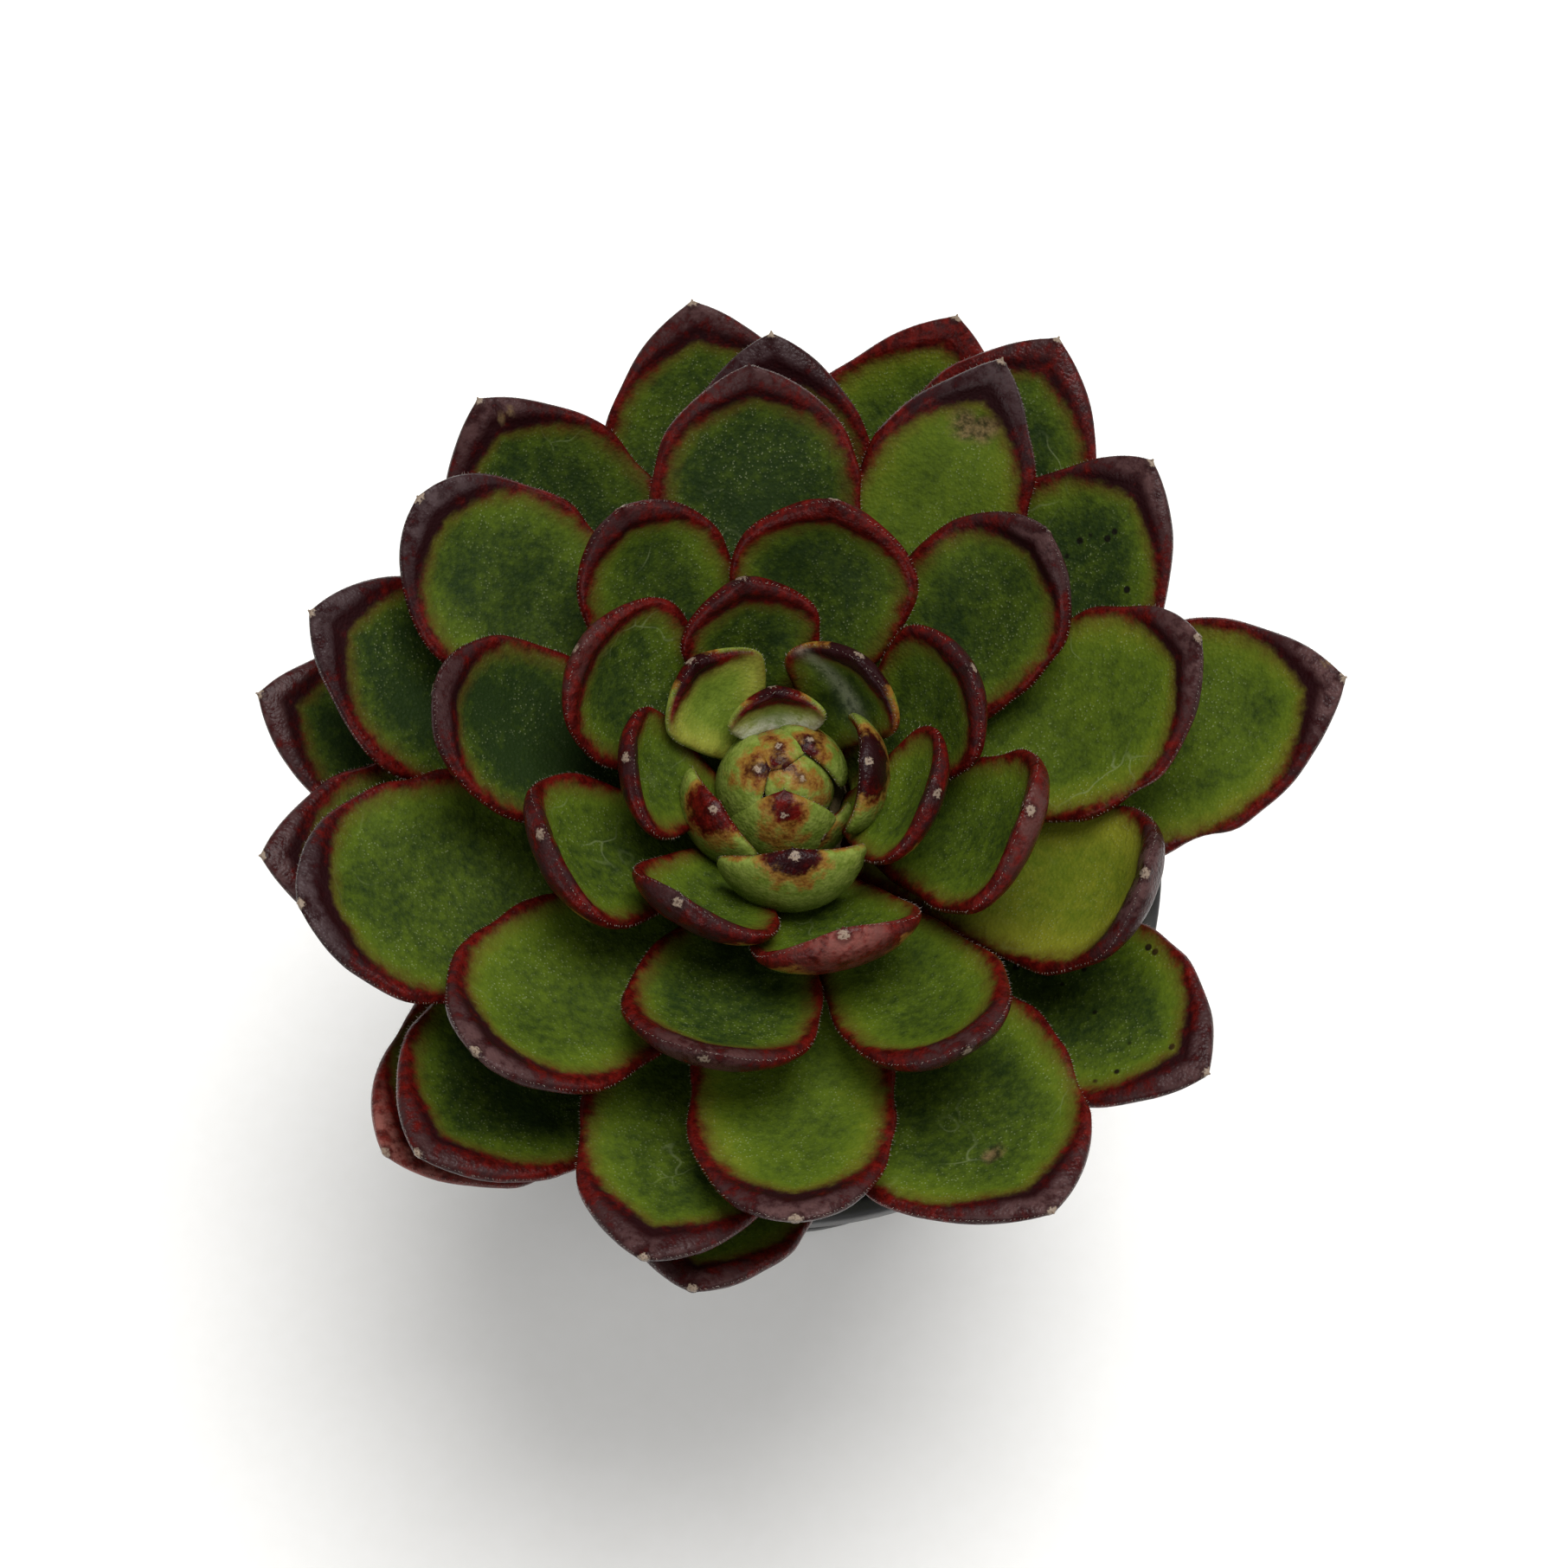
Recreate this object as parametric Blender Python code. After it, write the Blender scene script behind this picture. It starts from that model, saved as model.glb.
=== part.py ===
"""Potted succulent: a rosette of thick leaves on a short stem, in soil, in a plain moulded pot.

Sizes are in millimetres until an object is made, and angles are in degrees. The pot stands on
z = 0, and its axis, the stem's axis and the world's Z are one line. The rosette and its soil are
worked out from the soil's surface, which is z = 0 to every function about them.
"""

import math
from collections import namedtuple

import bmesh
import bpy
import numpy as np
from mathutils.bvhtree import BVHTree

MM = 0.001
GAP = 0.3  # left between pieces that touch

# The pot: a tapered tub with a collar, and drain holes round the middle of its floor
POT_TOP_D = 94.0
POT_BASE_D = 64.0
POT_HEIGHT = 80.0
POT_WALL = 2.4
POT_FLOOR = 3.0
COLLAR_HEIGHT = 13.0
COLLAR_STEP = 1.6  # how far the collar stands out of the wall below it
POT_EDGE_ROUND = 0.9
DRAIN_HOLES = 6
DRAIN_D = 8.0
DRAIN_CIRCLE_D = 38.0

SOIL_BELOW_RIM = 7.0
SOIL_CROWN = 2.0  # the soil's middle is this much higher than its edge

# The stem and the rosette on it
STEM_D = 15.0
CROWN_TOP = 26.0  # where the stem's side turns into its rounded top
CROWN_ROUND = 4.5
LOWEST_FOOT = 4.5  # the oldest leaf's foot
FIRST_ON_SIDE = 12  # a younger leaf than this grows from the stem's rounded top
ROSETTE_D = 124.0
LEAF_WIDTH = 25.0  # of a full-grown leaf
LEAF_THICK = 4.6
FOOT_WIDTH = 0.27  # of the leaf's greatest width
FOOT_THICK = 0.4  # of its greatest thickness
WIDEST_AT = 0.62  # of its length
THICKEST_AT = 0.55
POINT_LENGTH = 0.9  # the small hard point at the leaf's end
DIVERGENCE = 137.7  # turn from each leaf to the next older one
FIRST_TURN = -111.0

# What changes smoothly with a leaf's age, which counts the leaves from the bud outward
REACH = ((-3, 0.5), (0, 2.0), (4, 8.3), (8, 13.5), (12, 20), (16, 26), (20, 34.2),
         (24, 42.3), (28, 51.5), (32, 56), (36, 58), (51, 60))
TIP_HEIGHT = ((-3, 32), (0, 35), (4, 39), (8, 43), (12, 45), (16, 46.5), (24, 46.3), (28, 45.5),
              (32, 44), (36, 41.5), (42, 37), (51, 31))
WIDTH = ((-3, 0.07), (0, 0.28), (4, 0.5), (8, 0.64), (12, 0.7), (16, 0.76), (20, 0.83),
         (24, 0.9), (28, 1.0), (51, 1.0))
THICK = ((-3, 0.2), (0, 0.4), (4, 0.52), (8, 0.62), (12, 0.72), (16, 0.82), (24, 1), (51, 1))
FOOT_ANGLE = ((-3, 90), (0, 90), (4, 76), (8, 64), (12, 52), (16, 42), (24, 30), (32, 22),
              (51, 8))
TIP_ANGLE = ((-3, 95), (0, 105), (4, 106), (8, 104), (12, 93), (16, 94), (20, 82), (24, 66),
             (28, 55), (32, 46), (40, 38), (51, 32))
BLUNT = ((-3, 0.62), (30, 0.62), (36, 0.85), (51, 0.85))  # more makes a sharper leaf end
TABLES_FOR_D = 124.0  # the rosette's diameter that REACH holds for

# How a leaf departs from the even spiral: degrees turned, mm longer, mm higher, degrees that its
# tip curls in, mm wider, mm that its broad part sways aside. The ages with no leaf have lost it.
Leaf = namedtuple("Leaf", "turn longer higher curl wider sway", defaults=(0, 0, 0, 0, 0, 0))
LEAVES = {
    -2: Leaf(0), -1: Leaf(0), 0: Leaf(21), 1: Leaf(21), 2: Leaf(16), 3: Leaf(0, curl=14),
    4: Leaf(18), 5: Leaf(-2, curl=22), 6: Leaf(2, -1.2, -1, curl=8), 7: Leaf(1, 2.4),
    8: Leaf(4, 0.6, curl=24), 9: Leaf(4, -2.1), 10: Leaf(-1, -0.2, curl=16),
    11: Leaf(17, -1.1, curl=14, wider=1), 12: Leaf(2, -0.4),
    13: Leaf(-2, -0.9, curl=28, sway=2), 14: Leaf(6, -1.2, wider=1),
    15: Leaf(1, 0.2, wider=2.5, sway=-2), 16: Leaf(-6, -3.8, curl=32, wider=1),
    17: Leaf(9, 0.8, wider=3), 18: Leaf(-5, -2.4, curl=26, wider=1, sway=1.5),
    19: Leaf(-2, -5, curl=32, wider=1, sway=-1.5), 20: Leaf(0.5, -1.1, wider=-1),
    21: Leaf(-4, 0.2, curl=4, wider=1.5), 22: Leaf(2, 0.6), 23: Leaf(-5, -1.2),
    24: Leaf(-15, -2.3, wider=-2.5), 25: Leaf(3.5, 1.8, wider=2), 26: Leaf(-2, 1.6, wider=1),
    27: Leaf(8, -1.2, wider=0.5, sway=-2), 28: Leaf(0, -0.3, wider=0.5),
    29: Leaf(-11, 1, wider=-1.5), 30: Leaf(2, 0.3, wider=-3), 31: Leaf(1.5, 1.2, wider=4),
    32: Leaf(4, -14, curl=60, wider=-3), 34: Leaf(4.5, 1.8, -1),
    35: Leaf(12, -1.3, -1, wider=1, sway=-2.5), 36: Leaf(-4, -1.2, wider=1),
    37: Leaf(-5, 1.3, wider=5, sway=-2), 38: Leaf(10, -4.5), 39: Leaf(9, 1.3, -1, wider=3),
    40: Leaf(12.5, 6.8, -1, wider=3), 41: Leaf(-7, 0.2, wider=3), 42: Leaf(-12, 0.2, -1),
    43: Leaf(9, 5.3, wider=3), 44: Leaf(2, 1), 45: Leaf(-2.5, -0.5, sway=1),
    46: Leaf(-3, 3.2, wider=4.5), 47: Leaf(-17, 1.4, -2, wider=3), 49: Leaf(12.5, 3.6, -4),
    51: Leaf(-0.5, 5.5, -1, wider=4, sway=2),
}
YOUNGEST, OLDEST = min(LEAVES), max(LEAVES)

# A leaf's mesh, and how it gives way to the younger leaves
STATIONS = (0.0, 0.15, 0.33, 0.51, 0.68, 0.82, 0.92, 0.975)  # along a leaf, up to its point
AROUND = 12
ROUNDNESS = 0.85  # 1 makes a leaf's section an ellipse, less squares it off
SWAY_PEAK = 0.148  # the greatest value of s**2 * (1 - s)
LEAN_STEP = 0.15
BOW_STEP = 0.006  # of the leaf's length
SLIM_STEP = 0.008  # of the foot's width and thickness
MOST_STEPS = 60
LIFT_STEP = 0.5

POT_COLOUR = (0.021, 0.020, 0.020)
SOIL_COLOUR = (0.016, 0.011, 0.008)
STEM_COLOUR = (0.12, 0.085, 0.045)
YOUNG_COLOUR = (0.150, 0.137, 0.034)
GREEN_COLOUR = (0.064, 0.088, 0.014)


# ---- the rosette

def by_age(table, age):
    """The value of a smooth table at this age."""
    ages, values = zip(*table)
    return float(np.interp(age, ages, values))


def stem_radius(z):
    over = np.clip((z - CROWN_TOP) / CROWN_ROUND, 0, 1)
    return STEM_D / 2 * np.sqrt(1 - over**2)


def stem_top(out):
    """The height of the stem's rounded top at a distance from its axis."""
    return CROWN_TOP + CROWN_ROUND * np.sqrt(1 - np.clip(out / (STEM_D / 2), 0, 1)**2)


def foot_of(age):
    """Where a leaf leaves the stem: its distance from the axis and its height."""
    if age >= FIRST_ON_SIDE:
        down = (age - FIRST_ON_SIDE) / (OLDEST - FIRST_ON_SIDE)
        return STEM_D / 2, CROWN_TOP - down * (CROWN_TOP - LOWEST_FOOT)
    out = STEM_D / 2 * math.sqrt((age - YOUNGEST + 0.3) / (FIRST_ON_SIDE - YOUNGEST + 0.3))
    return out, float(stem_top(out))


def half_width(along, slim, blunt):
    """A leaf's width, of its greatest: a narrow foot, widest near the end, then a blunt point."""
    foot = FOOT_WIDTH * slim
    rise = np.sin(np.clip(along / WIDEST_AT, 0, 1) * math.pi / 2) ** (1.6 / slim)
    past = np.clip((along - WIDEST_AT) / (1 - WIDEST_AT), 0, 1)
    return np.where(along < WIDEST_AT, foot + (1 - foot) * rise, (1 - past**2.3)**blunt)


def half_thick(along, slim):
    """A leaf's thickness, of its greatest: thinner at the foot, rounded off at the end."""
    foot = FOOT_THICK * slim
    rise = foot + (1 - foot) * np.sin(np.clip(along / THICKEST_AT, 0, 1) * math.pi / 2)
    past = np.clip((along - THICKEST_AT) / (1 - THICKEST_AT), 0, 1)
    end = np.sqrt(np.clip((1 - along) / 0.08, 0, 1))
    return np.where(along < THICKEST_AT, rise, (1 - 0.42 * past**2) * end)


def centre_line(age, ease):
    """The four control points of the curve that a leaf's middle follows, as (out, up).

    Ease leans the leaf out and bows its middle away from the younger leaves, step by step.
    """
    leaf = LEAVES[age]
    foot = np.array(foot_of(age))
    tip = np.array([by_age(REACH, age) + leaf.longer, by_age(TIP_HEIGHT, age) + leaf.higher])
    tip[0] *= ROSETTE_D / TABLES_FOR_D
    span = np.linalg.norm(tip - foot)
    start = math.radians(by_age(FOOT_ANGLE, age))
    end = math.radians(by_age(TIP_ANGLE, age) + leaf.curl)
    line = np.array([
        foot,
        foot + 0.34 * span * np.array([math.cos(start), math.sin(start)]),
        tip - 0.30 * span * np.array([math.cos(end), math.sin(end)]),
        tip,
    ])
    outward = np.array([tip[1] - foot[1], foot[0] - tip[0]]) / span
    line[1:3] += ease * BOW_STEP * span * outward
    lean = math.radians(ease * LEAN_STEP)
    back = np.array([[math.cos(lean), math.sin(lean)], [-math.sin(lean), math.cos(lean)]])
    return (line - foot) @ back.T + foot


def leaf_shape(age, ease, fatter):
    """One leaf's points, ring by ring and then its end, as if it grew towards +X."""
    line = centre_line(age, ease)
    s = np.array(STATIONS + (1.0,))
    t = s[:, None]
    middle = ((1 - t)**3 * line[0] + 3 * (1 - t)**2 * t * line[1]
              + 3 * (1 - t) * t**2 * line[2] + t**3 * line[3])
    ahead = ((1 - t)**2 * (line[1] - line[0]) + 2 * (1 - t) * t * (line[2] - line[1])
             + t**2 * (line[3] - line[2]))
    ahead /= np.linalg.norm(ahead, axis=1)[:, None]
    face = np.stack([-ahead[:, 1], ahead[:, 0]], 1)  # square to the leaf's upper face

    slim = 1 - ease * SLIM_STEP
    size = by_age(WIDTH, age)
    width = half_width(s, slim, by_age(BLUNT, age))
    wide = (LEAF_WIDTH * size + LEAVES[age].wider) / 2 * width + fatter
    aside = LEAVES[age].sway * s**2 * (1 - s) / SWAY_PEAK
    thick = LEAF_THICK * by_age(THICK, age) / 2 * half_thick(s, slim) + fatter
    turn = np.arange(AROUND) * 2 * math.pi / AROUND
    across = np.sign(np.cos(turn)) * np.abs(np.cos(turn))**ROUNDNESS
    over = np.sign(np.sin(turn)) * np.abs(np.sin(turn))**ROUNDNESS
    over *= np.where(np.sin(turn) > 0, 0.85, 1.15)  # the under side bulges more

    rings = []
    for i in range(len(STATIONS)):
        bend = max(middle[i, 0], 3.0)  # a leaf wraps round the rosette's axis
        angle = (wide[i] * across + aside[i]) / bend
        up = bend - (bend - thick[i] * over) * np.cos(angle)
        side = (bend - thick[i] * over) * np.sin(angle)
        rings.append(np.stack([middle[i, 0] + up * face[i, 0], side,
                               middle[i, 1] + up * face[i, 1]], 1))
    end = middle[-1] + (POINT_LENGTH * size + fatter) * ahead[-1]
    return np.concatenate(rings + [np.array([[end[0], 0.0, end[1]]])])


def slide_off_stem(age, points):
    """How far a leaf moves for its foot to stand off the stem by the gap."""
    if age >= FIRST_ON_SIDE:
        clear = np.hypot(points[:, 0], points[:, 1]) - stem_radius(points[:, 2])
        return np.array([GAP - clear.min(), 0, 0])
    foot = points[:AROUND]
    under = stem_top(np.hypot(foot[:, 0], foot[:, 1])) - foot[:, 2]
    return np.array([0, 0, max(0.0, under.max() + GAP)])


def leaf_points(age, ease, fatter=0.0):
    """The leaf in its place by the stem. Fatter adds that much all round it."""
    thin = leaf_shape(age, ease, 0.0)
    return leaf_shape(age, ease, fatter) + slide_off_stem(age, thin)


def leaf_faces():
    """The faces of every leaf: its flat foot, its sides and the fan at its end."""
    faces = [list(range(AROUND))[::-1]]
    for ring in range(len(STATIONS) - 1):
        for j in range(AROUND):
            a, b = ring * AROUND + j, ring * AROUND + (j + 1) % AROUND
            faces.append([a, b, b + AROUND, a + AROUND])
    last = (len(STATIONS) - 1) * AROUND
    faces += [[last + j, last + (j + 1) % AROUND, last + AROUND] for j in range(AROUND)]
    return faces


def turn_of(age):
    return math.radians(FIRST_TURN + DIVERGENCE * age + LEAVES[age].turn)


def tree_of(age, points, lift=0.0):
    """The leaf where it stands in the rosette, as a tree that finds what meets it."""
    c, s = math.cos(turn_of(age)), math.sin(turn_of(age))
    turned_points = points @ np.array([[c, s, 0], [-s, c, 0], [0, 0, 1]]) + np.array([0, 0, lift])
    return BVHTree.FromPolygons([tuple(p * MM) for p in turned_points], leaf_faces())


def grow_leaves():
    """The ease of every leaf, youngest first: a leaf eases out until it clears those before it."""
    eases, trees = {}, []
    for age in sorted(LEAVES):
        for ease in range(MOST_STEPS):
            fat = tree_of(age, leaf_points(age, ease, GAP))
            if not any(fat.overlap(tree) for tree in trees):
                break
        eases[age] = ease
        trees.append(tree_of(age, leaf_points(age, ease)))
    return eases


def lift_over(things, level, eases):
    """How much higher the rosette stands, on a longer stem, for its leaves to clear the pot and soil."""
    around = [BVHTree.FromBMesh(thing) for thing in things]
    fat = {age: leaf_points(age, ease, GAP) for age, ease in eases.items()}
    lift = 0.0
    while any(tree_of(age, points, level + lift).overlap(tree)
              for age, points in fat.items() for tree in around):
        lift += LIFT_STEP
    return lift


# ---- turned pieces

def rounded(corners, radius, steps=2):
    """An open outline with each of its inner corners made an arc."""
    out = [corners[0]]
    for before, corner, after in zip(corners, corners[1:], corners[2:]):
        a, b, c = (np.array(v, float) for v in (before, corner, after))
        cut = min(radius, 0.45 * np.linalg.norm(a - b), 0.45 * np.linalg.norm(c - b))
        start = b + (a - b) / np.linalg.norm(a - b) * cut
        stop = b + (c - b) / np.linalg.norm(c - b) * cut
        for t in np.linspace(0, 1, steps + 1):
            out.append(tuple((1 - t)**2 * start + 2 * (1 - t) * t * b + t**2 * stop))
    return out + [corners[-1]]


def pot_inside(z):
    """The pot's inner radius at a height above its foot."""
    top = POT_TOP_D / 2 - POT_WALL
    low = POT_BASE_D / 2 - POT_WALL
    return low + (top - low) * (z - POT_FLOOR) / (POT_HEIGHT - POT_FLOOR)


def pot_outline():
    base, top = POT_BASE_D / 2, POT_TOP_D / 2
    under = POT_HEIGHT - COLLAR_HEIGHT
    wall_there = base + (top - COLLAR_STEP - base) * under / POT_HEIGHT
    return rounded([
        (0.0, 0.0), (base, 0.0), (wall_there, under), (wall_there + COLLAR_STEP, under),
        (top, POT_HEIGHT), (pot_inside(POT_HEIGHT), POT_HEIGHT),
        (pot_inside(POT_FLOOR), POT_FLOOR), (0.0, POT_FLOOR),
    ], POT_EDGE_ROUND)


def soil_outline(level):
    edge = pot_inside(level - SOIL_CROWN) - GAP
    floor = POT_FLOOR + GAP
    top = [(edge * math.cos(a), level - SOIL_CROWN * (1 - math.sin(a)))
           for a in np.linspace(0, math.pi / 2, 7)]
    return [(0.0, floor), (pot_inside(floor) - GAP, floor)] + top


def stem_outline(lift):
    top = [(STEM_D / 2 * math.cos(a), CROWN_TOP + CROWN_ROUND * math.sin(a))
           for a in np.linspace(0, math.pi / 2, 6)]
    return [(0.0, GAP - lift), (STEM_D / 2, GAP - lift)] + top


def turned(outline, steps):
    """A solid made by turning an outline, from the axis back to the axis, once round Z."""
    mesh = bmesh.new()
    points = [mesh.verts.new((out * MM, 0, z * MM)) for out, z in outline]
    edges = [mesh.edges.new(pair) for pair in zip(points, points[1:])]
    bmesh.ops.spin(mesh, geom=points + edges, cent=(0, 0, 0), axis=(0, 0, 1),
                   angle=2 * math.pi, steps=steps, use_merge=True)
    bmesh.ops.remove_doubles(mesh, verts=mesh.verts, dist=0.01 * MM)
    return mesh


# ---- objects

def principled(name, colour, roughness):
    material = bpy.data.materials.new(name)
    material.use_nodes = True
    shader = material.node_tree.nodes["Principled BSDF"]
    shader.inputs["Base Color"].default_value = (*colour, 1)
    shader.inputs["Roughness"].default_value = roughness
    shader.inputs["Metallic"].default_value = 0.0
    return material


def add_object(name, shape, material, parent=None):
    """An object from a bmesh, closed, facing out and smooth but for its corners."""
    bmesh.ops.recalc_face_normals(shape, faces=shape.faces)
    mesh = bpy.data.meshes.new(name)
    shape.to_mesh(mesh)
    shape.free()
    mesh.shade_smooth()
    mesh.set_sharp_from_angle(angle=math.radians(50))
    mesh.materials.append(material)
    obj = bpy.data.objects.new(name, mesh)
    obj.parent = parent
    bpy.context.scene.collection.objects.link(obj)
    return obj


def add_pot(shape):
    pot = add_object("pot", shape, principled("pot", POT_COLOUR, 0.5))
    for i in range(DRAIN_HOLES):
        turn = 2 * math.pi * (i + 0.5) / DRAIN_HOLES
        bpy.ops.mesh.primitive_cylinder_add(
            vertices=16, radius=DRAIN_D / 2 * MM, depth=4 * POT_FLOOR * MM,
            location=(DRAIN_CIRCLE_D / 2 * MM * math.cos(turn),
                      DRAIN_CIRCLE_D / 2 * MM * math.sin(turn), 0))
        cutter = bpy.context.object
        cutter.name = f"drain_cutter_{i + 1}"
        cutter.hide_render = True
        cutter.display_type = "WIRE"
        cut = pot.modifiers.new("drain", "BOOLEAN")
        cut.operation = "DIFFERENCE"
        cut.object = cutter


def add_leaf(age, points, rosette):
    shape = bmesh.new()
    verts = [shape.verts.new(p * MM) for p in points]
    for face in leaf_faces():
        shape.faces.new([verts[i] for i in face])
    name = f"leaf_{age - YOUNGEST + 1:02d}"
    young = max(0.0, 1 - (age - YOUNGEST) / 12)
    colour = [young * a + (1 - young) * b for a, b in zip(YOUNG_COLOUR, GREEN_COLOUR)]
    leaf = add_object(name, shape, principled(name, colour, 0.45), rosette)
    leaf.rotation_euler.z = turn_of(age)


def main():
    for obj in list(bpy.data.objects):
        bpy.data.objects.remove(obj)
    level = POT_HEIGHT - SOIL_BELOW_RIM
    pot, soil = turned(pot_outline(), 56), turned(soil_outline(level), 40)
    eases = grow_leaves()
    lift = lift_over((pot, soil), level, eases)
    add_pot(pot)
    add_object("soil", soil, principled("soil", SOIL_COLOUR, 0.95))

    rosette = bpy.data.objects.new("rosette", None)
    rosette.location.z = (level + lift) * MM
    bpy.context.scene.collection.objects.link(rosette)
    stem = turned(stem_outline(lift), 28)
    add_object("stem", stem, principled("stem", STEM_COLOUR, 0.8), rosette)
    for age, ease in eases.items():
        add_leaf(age, leaf_points(age, ease), rosette)


main()
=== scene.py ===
"""Potted succulent: a rosette of thick, short-haired leaves on a stem, in soil, in a plain pot.

Everything is shaped in millimetres and turned to metres when an object is made. The leaf
functions work round the rosette's own axis with the soil's surface at z = 0, as the part does,
so that each leaf lies in the place of the solid that it stands for.
"""

import math
from collections import namedtuple

import bmesh
import bpy
import numpy as np
from mathutils import Euler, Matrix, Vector, noise


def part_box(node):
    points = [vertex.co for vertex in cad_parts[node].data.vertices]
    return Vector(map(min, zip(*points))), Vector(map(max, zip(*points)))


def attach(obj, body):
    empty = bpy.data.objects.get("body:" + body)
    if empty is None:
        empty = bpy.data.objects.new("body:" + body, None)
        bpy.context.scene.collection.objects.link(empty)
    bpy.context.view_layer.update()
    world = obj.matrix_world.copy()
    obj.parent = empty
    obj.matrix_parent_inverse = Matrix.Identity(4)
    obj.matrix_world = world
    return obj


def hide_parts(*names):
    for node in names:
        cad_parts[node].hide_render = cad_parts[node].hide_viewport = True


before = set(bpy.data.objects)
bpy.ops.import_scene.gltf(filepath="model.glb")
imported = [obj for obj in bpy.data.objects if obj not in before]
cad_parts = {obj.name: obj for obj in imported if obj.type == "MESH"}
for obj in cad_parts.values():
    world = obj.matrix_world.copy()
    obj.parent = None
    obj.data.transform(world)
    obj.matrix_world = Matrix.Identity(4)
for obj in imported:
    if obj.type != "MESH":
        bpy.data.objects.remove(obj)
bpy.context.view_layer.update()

MM = 0.001
SOIL_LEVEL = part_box("soil")[1].z / MM
POT_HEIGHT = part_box("pot")[1].z / MM
CHANCE = np.random.default_rng(7)

# ---- sizes shared with the part

POT_TOP_D = 94.0
POT_BASE_D = 64.0
POT_WALL = 2.4
POT_FLOOR = 3.0
COLLAR_HEIGHT = 13.0
COLLAR_STEP = 1.6
DRAIN_HOLES = 6
DRAIN_D = 8.0
DRAIN_CIRCLE_D = 38.0
GAP = 0.3
SOIL_CROWN = 2.0

STEM_D = 15.0
CROWN_TOP = 26.0
CROWN_ROUND = 4.5
LOWEST_FOOT = 4.5
FIRST_ON_SIDE = 12
LEAF_WIDTH = 25.0
LEAF_THICK = 4.6
FOOT_WIDTH = 0.27
FOOT_THICK = 0.4
FOOT_FLARE = 1.6  # above 1 a leaf widens late from its foot
WIDEST_AT = 0.62
SHOULDER = 2.3  # above 2 a leaf's sides stay full past its widest
THICKEST_AT = 0.55
TIP_THINNER = 0.42  # of the thickness that is lost towards the tip
END_ROUND = 0.08  # of the length over which the end rounds off
UPPER_HALF = 0.85  # of half the thickness, above a leaf's middle, and below it
LOWER_HALF = 1.15
POINT_LENGTH = 0.9
FOOT_HANDLE = 0.34  # of a leaf's span, from its foot and tip to its curve's control points
TIP_HANDLE = 0.30
LEAST_BEND = 3.0  # mm, the tightest radius that a leaf wraps round
SOLID_STATIONS = (0.0, 0.15, 0.33, 0.51, 0.68, 0.82, 0.92, 0.975)
SOLID_AROUND = 12
SOLID_SECTION = 0.85  # below 1 squares the section off
DIVERGENCE = 137.7
FIRST_TURN = -111.0
LEAN_STEP = 0.15
BOW_STEP = 0.006
SLIM_STEP = 0.008
MOST_STEPS = 60

REACH = ((-3, 0.5), (0, 2.0), (4, 8.3), (8, 13.5), (12, 20), (16, 26), (20, 34.2),
         (24, 42.3), (28, 51.5), (32, 56), (36, 58), (51, 60))
TIP_HEIGHT = ((-3, 32), (0, 35), (4, 39), (8, 43), (12, 45), (16, 46.5), (24, 46.3), (28, 45.5),
              (32, 44), (36, 41.5), (42, 37), (51, 31))
WIDTH = ((-3, 0.07), (0, 0.28), (4, 0.5), (8, 0.64), (12, 0.7), (16, 0.76), (20, 0.83),
         (24, 0.9), (28, 1.0), (51, 1.0))
THICK = ((-3, 0.2), (0, 0.4), (4, 0.52), (8, 0.62), (12, 0.72), (16, 0.82), (24, 1), (51, 1))
FOOT_ANGLE = ((-3, 90), (0, 90), (4, 76), (8, 64), (12, 52), (16, 42), (24, 30), (32, 22),
              (51, 8))
TIP_ANGLE = ((-3, 95), (0, 105), (4, 106), (8, 104), (12, 93), (16, 94), (20, 82), (24, 66),
             (28, 55), (32, 46), (40, 38), (51, 32))
BLUNT = ((-3, 0.62), (30, 0.62), (36, 0.85), (51, 0.85))
SWAY_PEAK = 0.148

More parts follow.
